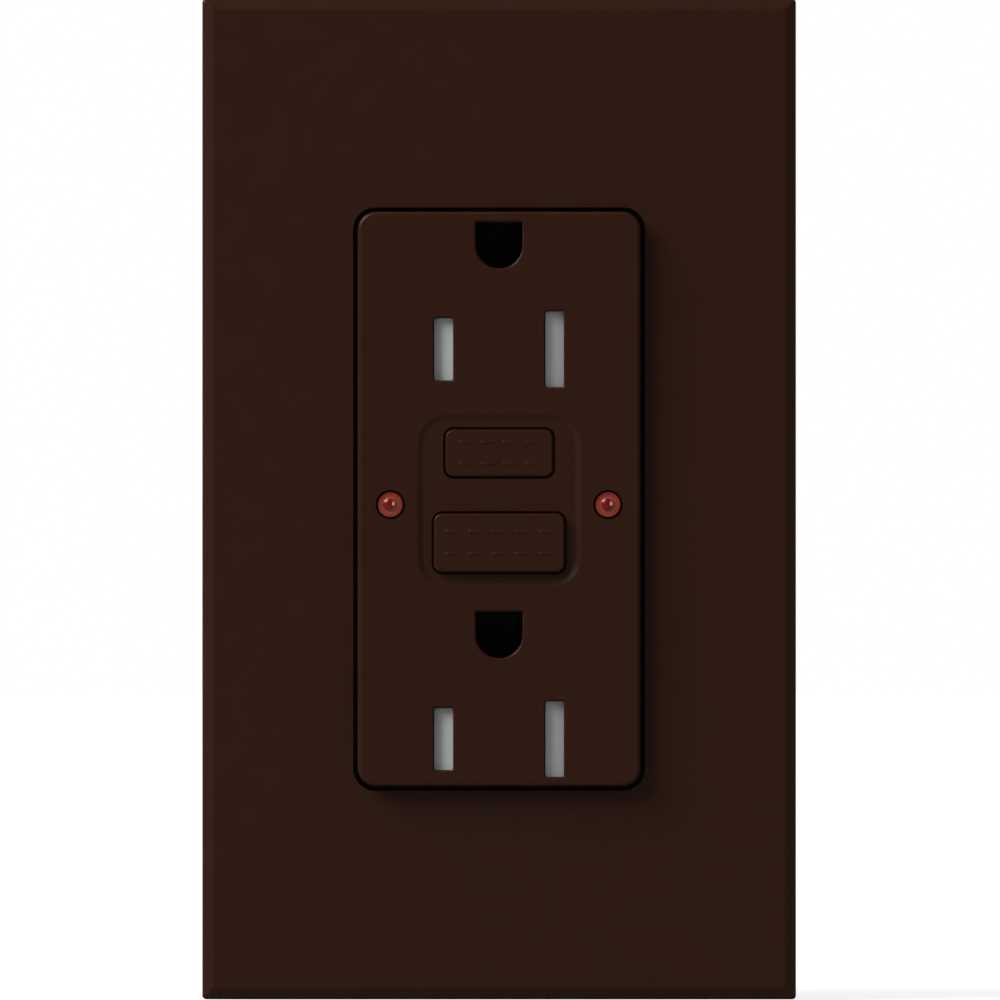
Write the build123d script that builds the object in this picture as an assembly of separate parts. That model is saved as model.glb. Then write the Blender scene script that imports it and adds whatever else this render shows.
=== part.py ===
from build123d import *
import os
from math import copysign

# Ground-fault duplex outlet with a screwless wall plate, in millimetres.
# It is drawn on a bench: x to the right, y up, z out of the wall, with the wall's face at z = 0
# and the middle of the device at x = y = 0. The last step stands it up, so that z points along -Y.

# Wall plate
PLATE_W = 68.0
PLATE_H = 114.6
PLATE_DEPTH = 7.0
PLATE_EDGE_R = 0.45
PLATE_BEVEL = 1.27
PLATE_BEVEL_DROP = 0.55
PLATE_SKIN = 1.6
PLATE_SKIRT = 1.4
PLATE_RIB_T = 1.0
PLATE_RIBS = 4
PLATE_RIB_PITCH = 20.0
OPENING_GAP = 0.52
OPENING_R = 2.5
COLLAR_T = 1.0
SNAP_LONG = 8.0
SNAP_T = 0.8
SNAP_REACH = 0.8
PRY_NOTCH = (8.0, 1.0)

# Sub-plate behind it
BASE_GAP = 0.5
BASE_WEB = 1.6
BASE_RIM = 1.5
BASE_RIB_T = 1.2
BASE_RIBS = 5
BASE_RIB_PITCH = 12.0
BASE_STANDOFF = 0.3

# Face of the device
FACE_W = 32.37
FACE_H = 65.75
FACE_R = 2.1
FACE_EDGE_R = 0.45
FACE_PROUD = 2.0
FACE_ROOF = 1.4
FACE_SIDE_WALL = 1.5
FACE_END_WALL = 0.9
FLANGE_W = 42.6
FLANGE_H = 69.5
FLANGE_R = 2.0
FLANGE_T = 3.4

# Outlets
OUTLET_PITCH = 44.6
OUTLET_MIDDLE = -5.17
BLADE_PITCH = 12.7
GROUND_RISE = 11.91
HOT_SLOT = (2.15, 7.1)
NEUTRAL_SLOT = (2.1, 8.65)
GROUND_D = 5.33
SLOT_CHAMFER = 0.2

# Buttons and their recess
RECESS_W = 18.7
RECESS_H = 19.75
RECESS_Y = -0.2
RECESS_R = 3.4
RECESS_DEEP = 0.25
RECESS_SLOPE = 68
BUTTON_GAP = 0.27
BUTTON_R = 0.95
BUTTON_EDGE_R = 0.25
BUTTON_LIP = 0.6
BUTTON_LIP_T = 1.1
BUTTON_WALL = 0.55
TEST_W = 12.3
TEST_H = 5.4
TEST_Y = 5.28
TEST_STEM_R = 1.0
RESET_W = 14.93
RESET_H = 6.69
RESET_Y = -5.0
RESET_PROUD = 0.9

# Indicators
LENS_X = 12.45
LENS_Y = -0.64
LENS_R = 1.42
LENS_GAP = 0.27
LENS_DOME_R = 0.8
PIPE_R = 1.0
PIPE_COLLAR_R = 2.1
LED_X = 12.1
LED_R = 0.95
LED_H = 2.8

# Mounting strap
STRAP_T = 1.2
STRAP_W = 38.0
STRAP_BODY_H = 68.0
STRAP_LENGTH = 106.4
TONGUE_W = 20.0
EAR_W = 9.0
EAR_H = 10.4
EAR_GAP = 1.0
EAR_NECK = 2.2
BOX_SCREW_PITCH = 83.34
PLATE_SCREW_PITCH = 96.84
BOX_SCREW_R = 1.73
BOX_NECK_R = 1.6
BOX_SCREW_END = -24.0
RETAINER_T = 0.4
SCREW_FIT = 0.05

# Ground terminal, on a tab bent back from the strap
TAB_Y = -25.5
TAB_W = 9.0
TAB_DEPTH = 11.5
GROUND_SCREW_Z = -6.6

# Ground pin contacts, riveted behind the strap
RIVET_X = 2.2
RIVET_RISE = 7.35
RIVET_R = 0.7
RIVET_HEAD_R = 1.0

# Contact carrier
CARRIER_FLANGE_T = 1.5
TRAY_W = 26.6
TRAY_H = 65.4
TRAY_DEPTH = 12.0
TRAY_FLOOR_T = 1.6
TRAY_WALL = 1.0

# Rear housing
BODY_DEPTH = 30.0
BODY_WALL = 1.8
BODY_BEVEL = 1.5
BACK_PANEL = (17.0, 46.0)
BACK_PANEL_DEEP = 0.6
GAUGE = (11.0, 2.0)
GRIP_GROOVE = (1.0, 0.5)
GRIP_PITCH = 2.2
GRIP_COUNT = 5
CAVITY_W = 27.2
CAVITY_H = 66.0
PARTITION = 1.2
POST_R = 2.8
ASSEMBLY_X = 13.3
ASSEMBLY_Y = 30.3
ASSEMBLY_SCREW_R = 1.45
BOARD_STANDOFF = 3.2
BOARD_T = 1.6

# Line and load terminals
TERMINAL_Y = 13.0
TERMINAL_PLATE_X = 15.0
TERMINAL_PLATE_T = 1.2
TERMINAL_PLATE_W = 9.2
TERMINAL_DROP = 2.6
TERMINAL_SHANK_R = 2.08
TERMINAL_FIT = 0.06
TERMINAL_HEAD_R = 4.2
TERMINAL_HEAD_T = 2.0
CLAMP_T = 1.4
CLAMP_W = 9.4
CLAMP_H = 8.5
BAY_H = 11.2
WINDOW_H = 10.0
WIRE_PORT = 2.9
WIRE_OFFSET = 3.2

# Blade contacts
BUS_T = 1.0
BUS_W = 5.0
CLIP_H = 7.6
LEAF_T = 0.5
CONTACT_X = 7.0
FIXED_CONTACT_R = 1.6
FIXED_CONTACT_DROP = 0.65

# Shutters
SHUTTER_INNER = 4.0
SHUTTER_OUTER = 8.2
SHUTTER_POCKET = 0.7
SHUTTER_PITCH = 0.35
SHUTTER_NOSE = 0.6
SHUTTER_BACK = 5.2
GUIDE_HALF_W = 10.4
GUIDE_FLOOR_T = 0.7
GUIDE_WALL = 0.9

# Trip mechanism
REST_GAP = 0.1
RIB_GAP = 0.3
ARM_T = 0.5
ARM_W = 3.0
ARM_PIVOT_Y = 9.6
MOVING_CONTACT_T = 0.85
BLOCK_W = 19.0
BLOCK_L = 6.0
BLOCK_H = 6.0
PIN_R = 1.1
PIN_NECK_R = 0.7
LATCH_W = 6.0
LATCH_T = 0.6
PLUNGER_R = 2.0
PLUNGER_TIP_R = 1.0
PLUNGER_TRAVEL = 1.8
COIL_R = 4.2
TRANSFORMER_Y = 20.0
TRANSFORMER_R = 9.8
TRANSFORMER_H = 8.0

# What stands on the board
CHIP_Y = 3.6
CHIP_SIZE = (8.0, 5.0)
CHIP_LEGS = 4
CHIP_PITCH = 2.0
CAN_R = 2.5
CAN_H = 7.4
CAN_PLACES = ((9.0, -26.6), (9.0, -20.6))
VARISTOR_R = 4.4
VARISTOR_T = 3.2
VARISTOR_PLACE = (-9.3, -22.4)
THYRISTOR_R = 2.3
THYRISTOR_PLACE = (-10.2, 4.2)
RESISTOR_R = 0.95
RESISTOR_L = 4.0
RESISTOR_PLACES = ((9.4, 2.4), (9.4, 5.4), (0, 8.6))
LEAD_R = 0.35

# Levels and places that follow from the sizes above
FACE_FRONT = PLATE_DEPTH + FACE_PROUD
ROOF_UNDER = FACE_FRONT - FACE_ROOF
RECESS_FLOOR = FACE_FRONT - RECESS_DEEP
OUTLET_Y = {
    "upper": OUTLET_MIDDLE + OUTLET_PITCH / 2,
    "lower": OUTLET_MIDDLE - OUTLET_PITCH / 2,
}
BLADE_X = BLADE_PITCH / 2
SHUTTER_LOW = STRAP_T + GUIDE_FLOOR_T + REST_GAP
SHUTTER_TOP = ROOF_UNDER + SHUTTER_POCKET - 0.15
SHUTTER_SPRING_Z = (SHUTTER_LOW + ROOF_UNDER - 1.1) / 2
SHUTTER_FRONT = NEUTRAL_SLOT[1] / 2 + 0.07
TRAY_FLOOR = TRAY_FLOOR_T - TRAY_DEPTH
HOUSING_FLOOR = BODY_WALL - BODY_DEPTH
BOARD_TOP = HOUSING_FLOOR + BOARD_STANDOFF + BOARD_T
BOARD_UNDER = BOARD_TOP - BOARD_T
BUS_TOP = TRAY_FLOOR + BUS_T
FIXED_CONTACT_FACE = -TRAY_DEPTH - FIXED_CONTACT_DROP
ARM_TOP = FIXED_CONTACT_FACE - REST_GAP - MOVING_CONTACT_T
ARM_UNDER = ARM_TOP - ARM_T
BLOCK_TOP = ARM_UNDER - 0.8
BLOCK_UNDER = BLOCK_TOP - BLOCK_H
LATCH_Z = (BLOCK_TOP + BLOCK_UNDER) / 2 - 0.3
TERMINAL_Z = -TRAY_DEPTH - TERMINAL_DROP
CLAMP_X = TERMINAL_PLATE_X + TERMINAL_PLATE_T + REST_GAP
TERMINAL_BORE_R = TERMINAL_SHANK_R + TERMINAL_FIT
PARTITION_X = CAVITY_W / 2
BAY_X = PARTITION_X + PARTITION
BAY_OUTER_X = FLANGE_W / 2 - BODY_WALL
TAB_X = STRAP_W / 2
EAR_X = (TONGUE_W + EAR_W) / 2 + EAR_GAP
TEST_BLADE_TOP = -2.3
TEST_BLADE_ROOT = 10.8
TO_ROW = Location((0, 0, 0), (90, 0, 0))


def slab(outline, low, high):
    """An outline in the bench's XY plane made solid from z = low to z = high."""
    return extrude(Pos(0, 0, low) * outline, amount=high - low, dir=(0, 0, 1))


def block(x, y, z):
    """A box between two limits on each axis."""
    centre = [(low + high) / 2 for low, high in (x, y, z)]
    size = [high - low for low, high in (x, y, z)]
    return Pos(*centre) * Box(*size)


def about(centre, size):
    """The two limits of a size about its centre."""
    return (centre - size / 2, centre + size / 2)


def spread(count, pitch):
    """The places of a row of equal pitch about the middle."""
    return [(index - (count - 1) / 2) * pitch for index in range(count)]


def rod(x, y, radius, low, high):
    """A round bar along z."""
    return Pos(x, y, (low + high) / 2) * Cylinder(radius, high - low)


def rod_x(y, z, radius, low, high):
    """A round bar along x."""
    return Pos((low + high) / 2, y, z) * Rot(0, 90, 0) * Cylinder(radius, high - low)


def rod_y(x, z, radius, low, high):
    """A round bar along y."""
    return Pos(x, (low + high) / 2, z) * Rot(90, 0, 0) * Cylinder(radius, high - low)


def profile_y(points, low, high):
    """A polygon of (x, z) points made solid from y = low to y = high."""
    outline = Plane.XZ.offset(-low) * Polygon(*points, align=None)
    return extrude(outline, amount=high - low, dir=(0, 1, 0))


def other_side(shape):
    """The mirror image across the middle, at -x."""
    return mirror(shape, about=Plane.YZ)


def corners(x, y):
    """The four places at plus and minus x and y."""
    return [(sx * x, sy * y) for sx in (-1, 1) for sy in (-1, 1)]


def coil_spring(radius, wire, length, turns):
    """A spring of square wire wound up z from z = 0, with its wire's middle at the given radius."""
    rise = length - wire
    path = Helix(pitch=rise / turns, height=rise, radius=radius)
    section = Plane(origin=path @ 0, z_dir=path % 0) * Rectangle(wire, wire)
    return Pos(0, 0, wire / 2) * sweep(section, path=path, is_frenet=True)


def ground_outline(centre_y, size=GROUND_D):
    """The ground pin's hole: flat on top and round below."""
    radius = size / 2
    top = Pos(0, centre_y + radius / 2) * Rectangle(size, radius)
    return Pos(0, centre_y) * Circle(radius) + top


# ---------------------------------------------------------------- wall plate


def snap_places(inset_x, inset_y):
    """Middles and directions of the snaps: two on each long side and one on each end."""
    sides = [(sx * inset_x, sy * PLATE_H / 4, sx, 0) for sx in (-1, 1) for sy in (-1, 1)]
    return sides + [(0, sy * inset_y, 0, sy) for sy in (-1, 1)]


def snap_bar(x, y, dx, dy, reach, long, low, high):
    """A bar at a snap's place, reaching inward from (x, y)."""
    if dx:
        return block(sorted((x, x - dx * reach)), about(y, long), (low, high))
    return block(about(x, long), sorted((y, y - dy * reach)), (low, high))


def opening_outline(grow=0.0):
    gap = OPENING_GAP + grow
    return RectangleRounded(FACE_W + 2 * gap, FACE_H + 2 * gap, OPENING_R + grow)


def wallplate_cover():
    body = block(about(0, PLATE_W), about(0, PLATE_H), (0, PLATE_DEPTH))
    front = body.faces().sort_by(Axis.Z)[-1]
    body = chamfer(front.edges(), PLATE_BEVEL, PLATE_BEVEL_DROP, reference=front)
    body = fillet([e for e in body.edges() if e.center().Z > 0.1], PLATE_EDGE_R)
    inner_x = PLATE_W / 2 - PLATE_SKIRT
    inner_y = PLATE_H / 2 - PLATE_SKIRT
    inner_top = PLATE_DEPTH - PLATE_SKIN
    body -= block((-inner_x, inner_x), (-inner_y, inner_y), (-1, inner_top))
    body += slab(opening_outline(COLLAR_T), FLANGE_T + REST_GAP, inner_top)
    rib_z = (max(FLANGE_T, STRAP_T + BASE_WEB) + RIB_GAP, inner_top + 0.2)
    collar_x = FACE_W / 2 + OPENING_GAP + COLLAR_T
    collar_y = FACE_H / 2 + OPENING_GAP + COLLAR_T
    for y in spread(PLATE_RIBS, PLATE_RIB_PITCH):
        for sx in (-1, 1):
            rib_x = sorted((sx * (collar_x - 0.2), sx * (inner_x + 0.2)))
            body += block(rib_x, about(y, PLATE_RIB_T), rib_z)
    for x, y in corners(EAR_X, (collar_y + inner_y) / 2):
        body += block(about(x, PLATE_RIB_T), about(y, inner_y - collar_y + 0.4), rib_z)
    body -= slab(opening_outline(), 0, PLATE_DEPTH + 1)
    snap_z = STRAP_T + 0.2
    for x, y, dx, dy in snap_places(inner_x, inner_y):
        body += snap_bar(x, y, dx, dy, SNAP_REACH, SNAP_LONG, snap_z, snap_z + SNAP_T)
    notch_w, notch_h = PRY_NOTCH
    body -= block(about(0, notch_w), (-PLATE_H / 2 - 1, -inner_y), (-1, notch_h))
    return body


def wallplate_base():
    width = PLATE_W - 2 * (PLATE_SKIRT + BASE_GAP)
    height = PLATE_H - 2 * (PLATE_SKIRT + BASE_GAP)
    top = STRAP_T + BASE_WEB
    body = slab(RectangleRounded(width, height, 1.5), BASE_STANDOFF, top)
    rim = 2 * BASE_RIM
    body -= slab(RectangleRounded(width - rim, height - rim, 1.0), 0, STRAP_T)
    for y in spread(BASE_RIBS, BASE_RIB_PITCH):
        body += block(about(0, width - rim + 0.4), about(y, BASE_RIB_T), (BASE_STANDOFF, STRAP_T + 0.2))
    body -= slab(RectangleRounded(FLANGE_W + 0.8, FLANGE_H + 0.8, FLANGE_R), 0, top + 1)
    screw_y = BOX_SCREW_PITCH / 2
    for sy in (-1, 1):
        notch = Pos(0, sy * screw_y / 2) * SlotOverall(screw_y + 7.6, 7.6, rotation=90)
        body -= slab(notch, 0, top + 1)
        body -= rod(0, sy * PLATE_SCREW_PITCH / 2, BOX_SCREW_R + 0.2, 0, top + 1)
    for x, y, dx, dy in snap_places(width / 2 + 0.1, height / 2 + 0.1):
        pocket = snap_bar(x, y, dx, dy, 0.8, SNAP_LONG + 0.6, STRAP_T + 0.05, STRAP_T + 0.25 + SNAP_T)
        body -= pocket
    return body


def screw_along_z(x, y, head_r, head_t, shank_r, seat, tip):
    """A fastener with its head's underside at z = seat and its end at z = tip."""
    turned = rod(x, y, head_r, seat, seat + head_t)
    turned = fillet(turned.faces().sort_by(Axis.Z)[-1].edges(), head_t * 0.45)
    slot = block(about(x, 2 * head_r + 1), about(y, 0.8), (seat + head_t * 0.5, seat + head_t + 1))
    return turned - slot + rod(x, y, shank_r, tip, seat)


def wallplate_screws():
    seat = STRAP_T + BASE_WEB
    y = PLATE_SCREW_PITCH / 2
    return [screw_along_z(0, sy * y, 2.7, 1.6, BOX_SCREW_R, seat, -4.6) for sy in (-1, 1)]


# ---------------------------------------------------------------- face of the device


def slot_outline(x, y, width, height, radius=0.25):
    """A slot's outline."""
    return Pos(x, y) * RectangleRounded(width, height, radius)


def through_face(outline):
    """A hole through the face with its chamfered rim."""
    hole = slab(outline, ROOF_UNDER - 1, FACE_FRONT)
    rim = offset(outline, SLOT_CHAMFER)
    funnel = loft([Pos(0, 0, FACE_FRONT - SLOT_CHAMFER) * outline, Pos(0, 0, FACE_FRONT) * rim])
    return hole + funnel


def strap_pocket():
    outline = Rectangle(STRAP_W + 0.2, STRAP_BODY_H + 0.2) + Rectangle(TONGUE_W + 0.4, FLANGE_H + 2)
    return slab(outline, -1, STRAP_T)


def face_cover():
    body = slab(RectangleRounded(FACE_W, FACE_H, FACE_R), 0, FACE_FRONT)
    body = fillet(body.faces().sort_by(Axis.Z)[-1].edges(), FACE_EDGE_R)
    body += slab(RectangleRounded(FLANGE_W, FLANGE_H, FLANGE_R), 0, FLANGE_T)
    inner_w = FACE_W - 2 * FACE_SIDE_WALL
    inner_h = FACE_H - 2 * FACE_END_WALL
    inner_r = max(FACE_R - FACE_END_WALL, 0.5)
    body -= slab(RectangleRounded(inner_w, inner_h, inner_r), -1, ROOF_UNDER)
    within = slab(RectangleRounded(FACE_W - 1, FACE_H - 1, FACE_R), 0, ROOF_UNDER + 0.5)
    for x, y in corners(ASSEMBLY_X, ASSEMBLY_Y):
        boss = rod(x, y, 2.4, STRAP_T, ROOF_UNDER + 0.2)
        body += boss & within
        body -= rod(x, y, ASSEMBLY_SCREW_R + SCREW_FIT, -1, ROOF_UNDER - 0.8)
    body -= strap_pocket()
    for y in OUTLET_Y.values():
        pocket_y = (y - SHUTTER_FRONT - 0.05, y + SHUTTER_BACK + 0.05)
        body -= block(about(0, 2 * SHUTTER_OUTER + 0.6), pocket_y, (STRAP_T, ROOF_UNDER + SHUTTER_POCKET))
        body -= through_face(slot_outline(-BLADE_X, y, *HOT_SLOT))
        body -= through_face(slot_outline(BLADE_X, y, *NEUTRAL_SLOT))
        body -= through_face(ground_outline(y + GROUND_RISE))
    recess = Pos(0, RECESS_Y, FACE_FRONT) * RectangleRounded(RECESS_W, RECESS_H, RECESS_R)
    body -= extrude(recess, amount=-RECESS_DEEP, taper=RECESS_SLOPE)
    for y, width, height in ((TEST_Y, TEST_W, TEST_H), (RESET_Y, RESET_W, RESET_H)):
        hole = slot_outline(0, y, width + 2 * BUTTON_GAP, height + 2 * BUTTON_GAP, BUTTON_R + BUTTON_GAP)
        body -= slab(hole, ROOF_UNDER - 1, FACE_FRONT + 1)
    for sx in (-1, 1):
        body -= rod(sx * LENS_X, LENS_Y, LENS_R + LENS_GAP, ROOF_UNDER - 1, FACE_FRONT + 1)
    return body


def button_cap(y, width, height, top):
    """A button's hollow cap with the lip that keeps it behind the face."""
    under = ROOF_UNDER - REST_GAP - BUTTON_LIP_T
    cap = slab(slot_outline(0, y, width, height, BUTTON_R), under, top)
    cap = fillet(cap.faces().sort_by(Axis.Z)[-1].edges(), BUTTON_EDGE_R)
    lip = slot_outline(0, y, width + 2 * BUTTON_LIP, height + 2 * BUTTON_LIP, BUTTON_R)
    cap += slab(lip, under, under + BUTTON_LIP_T)
    hollow = slot_outline(0, y, width - 2 * BUTTON_WALL, height - 2 * BUTTON_WALL, 0.4)
    return cap - slab(hollow, under - 1, top - 1.5)


def test_button():
    stem = rod(0, TEST_Y, TEST_STEM_R, TEST_BLADE_TOP + REST_GAP, RECESS_FLOOR - 1)
    return button_cap(TEST_Y, TEST_W, TEST_H, RECESS_FLOOR) + stem


def reset_button():
    top = RECESS_FLOOR + RESET_PROUD
    boss = rod(0, RESET_Y, 1.9, ROOF_UNDER - 2.2, top - 1)
    socket = rod(0, RESET_Y, PIN_R + 0.02, ROOF_UNDER - 3, top - 1.8)
    return button_cap(RESET_Y, RESET_W, RESET_H, top) + boss - socket


def lens(side):
    """A light pipe from its lens in the face down to its lamp on the board."""
    x = side * LENS_X
    low = BOARD_TOP + LED_H + 0.4
    pipe = rod(x, LENS_Y, PIPE_R, low, ROOF_UNDER)
    pipe += rod(x, LENS_Y, PIPE_COLLAR_R, ROOF_UNDER - 0.8, ROOF_UNDER)
    pipe += rod(x, LENS_Y, LENS_R, ROOF_UNDER, FACE_FRONT - 0.25)
    dome = Pos(x, LENS_Y, FACE_FRONT - 0.25) * Sphere(LENS_DOME_R)
    return pipe + (dome & rod(x, LENS_Y, LENS_R, FACE_FRONT - 0.4, FACE_FRONT + 0.05))


# ---------------------------------------------------------------- shutters


def shutter_guide(y):
    """The frame that one outlet's shutters slide in, standing on the strap."""
    low = y - SHUTTER_FRONT - 0.05
    wall = y + SHUTTER_BACK + REST_GAP
    high = wall + GUIDE_WALL
    floor_top = STRAP_T + GUIDE_FLOOR_T
    frame = block((-GUIDE_HALF_W, GUIDE_HALF_W), (low, high), (STRAP_T, floor_top))
    for sx in (-1, 1):
        window = sorted((sx * (SHUTTER_OUTER - 0.3), sx * (BLADE_X - 1.6)))
        frame -= block(window, (low - 1, y + 4.6), (0, floor_top + 1))
        stop = sorted((sx * (SHUTTER_OUTER + REST_GAP), sx * GUIDE_HALF_W))
        frame += block(stop, (low, wall), (floor_top, floor_top + 2.4))
    return frame + block((-GUIDE_HALF_W, GUIDE_HALF_W), (wall, high), (floor_top, ROOF_UNDER - REST_GAP))


def shutter(y, side):
    """A sliding shutter that closes a slot close behind the face, in a pocket of its roof."""
    outline = [
        (SHUTTER_INNER, SHUTTER_LOW),
        (SHUTTER_OUTER, SHUTTER_LOW),
        (SHUTTER_OUTER, SHUTTER_TOP - 2.0),
        (SHUTTER_OUTER - SHUTTER_NOSE, SHUTTER_TOP - SHUTTER_PITCH),
        (SHUTTER_INNER + 1.0, SHUTTER_TOP),
        (SHUTTER_INNER, SHUTTER_TOP),
    ]
    body = profile_y(outline, y - SHUTTER_FRONT, y + SHUTTER_BACK)
    body -= rod_x(y, SHUTTER_SPRING_Z, 1.3, SHUTTER_INNER - 1, SHUTTER_INNER + 0.8)
    return body if side > 0 else other_side(body)


def shutter_spring(y):
    seat = SHUTTER_INNER + 0.7
    spring = coil_spring(0.9, 0.4, 2 * seat, 6)
    return Pos(-seat, y, SHUTTER_SPRING_Z) * Rot(0, 90, 0) * spring


# ---------------------------------------------------------------- strap and ground


def mounting_strap():
    outline = RectangleRounded(STRAP_W, STRAP_BODY_H, 1.5)
    outline += RectangleRounded(TONGUE_W, STRAP_LENGTH, 2.0)
    ear_y = (STRAP_LENGTH - EAR_H) / 2
    for x, y in corners(EAR_X, ear_y):
        outline += Pos(x, y) * RectangleRounded(EAR_W, EAR_H, 3.0)
        for lift in (-0.25, 0.25):
            neck = Pos(x * 0.8, y + lift * EAR_H) * Rectangle(EAR_W, EAR_NECK / 2)
            outline += neck
    body = slab(outline, 0, STRAP_T)
    for y in OUTLET_Y.values():
        body -= block(about(0, 19.2), (y - 5.2, y + 5.3), (-1, STRAP_T + 1))
        body -= block(about(0, 6.4), about(y + GROUND_RISE, 6.4), (-1, STRAP_T + 1))
        for sx in (-1, 1):
            body -= rod(sx * RIVET_X, y + RIVET_RISE, RIVET_R + 0.02, -1, STRAP_T + 1)
    button_top = TEST_Y + TEST_H / 2 + 1.5
    button_low = RESET_Y - RESET_H / 2 - 1.8
    body -= block(about(0, 18.4), (button_low, button_top), (-1, STRAP_T + 1))
    for sx in (-1, 1):
        body -= rod(sx * LENS_X, LENS_Y, 2.2, -1, STRAP_T + 1)
    for x, y in corners(ASSEMBLY_X, ASSEMBLY_Y):
        body -= rod(x, y, ASSEMBLY_SCREW_R + 0.2, -1, STRAP_T + 1)
    for sy in (-1, 1):
        body -= slab(Pos(0, sy * BOX_SCREW_PITCH / 2) * SlotOverall(7.2, 3.9), -1, STRAP_T + 1)
        body -= rod(0, sy * PLATE_SCREW_PITCH / 2, BOX_SCREW_R + SCREW_FIT, -1, STRAP_T + 1)
    tab = block((-TAB_X, -TAB_X + STRAP_T), about(TAB_Y, TAB_W), (-TAB_DEPTH, STRAP_T))
    tab -= rod_x(TAB_Y, GROUND_SCREW_Z, TERMINAL_BORE_R, -TAB_X - 1, 0)
    return body + tab


def ground_contact(y):
    """The clip that grips one outlet's ground pin, riveted behind the strap."""
    pin_y = y + GROUND_RISE
    base = block(about(0, 9.2), (y + RIVET_RISE - 1.1, pin_y + 2.4), (-0.7, 0))
    base -= block(about(0, 6.4), (pin_y - 3.2, pin_y + 3), (-1, 1))
    leaf = [(3.2, -0.1), (3.9, -0.1), (2.95, -5.2), (3.6, -8.2), (2.95, -8.2), (2.25, -5.2)]
    for points in (leaf, [(-x, z) for x, z in leaf]):
        base += profile_y(points, pin_y - 2.5, pin_y + 2.4)
    for sx in (-1, 1):
        base -= rod(sx * RIVET_X, y + RIVET_RISE, RIVET_R + 0.02, -1, 1)
    return base


def ground_rivets():
    rivets = []
    for y in OUTLET_Y.values():
        for sx in (-1, 1):
            place = (sx * RIVET_X, y + RIVET_RISE)
            head = rod(*place, RIVET_HEAD_R, STRAP_T, STRAP_T + 0.4)
            tail = rod(*place, RIVET_HEAD_R, -1.1, -0.7)
            rivets.append(head + rod(*place, RIVET_R, -0.7, STRAP_T) + tail)
    return rivets


def box_screws():
    """The two screws into the wall box, each with a plain neck where it is held in the strap."""
    screws = []
    for sy in (-1, 1):
        y = sy * BOX_SCREW_PITCH / 2
        neck_end = -RETAINER_T - 0.02
        screw = screw_along_z(0, y, 3.4, 2.0, BOX_NECK_R, STRAP_T, neck_end)
        screws.append(screw + rod(0, y, BOX_SCREW_R, BOX_SCREW_END, neck_end))
    return screws


def screw_retainers():
    washers = []
    for sy in (-1, 1):
        y = sy * BOX_SCREW_PITCH / 2
        washer = slab(Pos(0, y) * RectangleRounded(9, 9, 1), -RETAINER_T, 0)
        washers.append(washer - rod(0, y, BOX_NECK_R + SCREW_FIT, -1, 1))
    return washers


# ---------------------------------------------------------------- terminals


def terminal_screw(y, z, inner_end, seat, side):
    """A binding screw along x, with its head's underside at x = seat on the given side."""
    head = rod_x(y, z, TERMINAL_HEAD_R, seat, seat + TERMINAL_HEAD_T)
    head = fillet(head.faces().sort_by(Axis.X)[-1].edges(), 0.5)
    outer = seat + TERMINAL_HEAD_T
    head -= block((outer - 1.0, outer + 1), about(y, 2 * TERMINAL_HEAD_R + 1), about(z, 1.2))
    screw = head + rod_x(y, z, TERMINAL_SHANK_R, inner_end, seat)
    return screw if side > 0 else other_side(screw)


def clamp_plate(y, z, inner, side, width=CLAMP_W, height=CLAMP_H):
    """A pressure plate with two grooves for the wires and a hole for its screw."""
    plate = block((inner, inner + CLAMP_T), about(y, width), about(z, height))
    plate -= rod_x(y, z, TERMINAL_SHANK_R + 0.07, inner - 1, inner + CLAMP_T + 1)
    for sy in (-1, 1):
        ridge = inner - 0.4
        plate -= Pos(ridge, y + sy * WIRE_OFFSET, z) * Cylinder(0.9, height + 1)
    return plate if side > 0 else other_side(plate)


def terminal_plate(y, z, top):
    """A fixed terminal plate on the right, with the hole that its screw turns in."""
    x = (TERMINAL_PLATE_X, TERMINAL_PLATE_X + TERMINAL_PLATE_T)
    plate = block(x, about(y, TERMINAL_PLATE_W), (z - 4.8, top))
    return plate - rod_x(y, z, TERMINAL_BORE_R, x[0] - 1, x[1] + 1)


def line_terminal(side):
    low = TERMINAL_Z - 4.8
    plate = terminal_plate(TERMINAL_Y, TERMINAL_Z, TERMINAL_Z + 4.8)
    leg_x = TERMINAL_PLATE_X - 4.6
    plate += block((leg_x, TERMINAL_PLATE_X), about(TERMINAL_Y, 4.4), (low, low + 1.0))
    plate += block((leg_x, leg_x + 1.0), about(TERMINAL_Y, 1.8), (BOARD_UNDER - 0.8, low))
    return plate if side > 0 else other_side(plate)


def blade_clip(y):
    """Two leaves that wipe both faces of a blade, on the right-hand bus."""
    leaf = [(2.0, BUS_TOP - 0.1), (2.0 + LEAF_T, BUS_TOP - 0.1)]
    leaf += [(0.62 + LEAF_T, -4.0), (2.2, -1.6), (1.7, -1.6), (0.62, -4.0)]
    right = profile_y([(BLADE_X + x, z) for x, z in leaf], *about(y, CLIP_H))
    left = profile_y([(BLADE_X - x, z) for x, z in leaf], *about(y, CLIP_H))
    return right + left


def bus(side):
    """A strip that joins both outlets' clips on one side to its load terminal."""
    low = OUTLET_Y["lower"] - CLIP_H / 2 - 0.2
    high = OUTLET_Y["upper"] + CLIP_H / 2 + 0.2
    strip = block(about(BLADE_X, BUS_W), (low, high), (TRAY_FLOOR, BUS_TOP))
    for y in OUTLET_Y.values():
        strip += blade_clip(y)
    outer = TERMINAL_PLATE_X + TERMINAL_PLATE_T
    strip += block((BLADE_X, outer), about(-TERMINAL_Y, 4.8), (TRAY_FLOOR, BUS_TOP))
    strip += terminal_plate(-TERMINAL_Y, TERMINAL_Z, BUS_TOP)
    strip += rod(CONTACT_X, RESET_Y, FIXED_CONTACT_R, FIXED_CONTACT_FACE, TRAY_FLOOR + 0.2)
    return strip if side > 0 else other_side(strip)


# ---------------------------------------------------------------- housings


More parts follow.
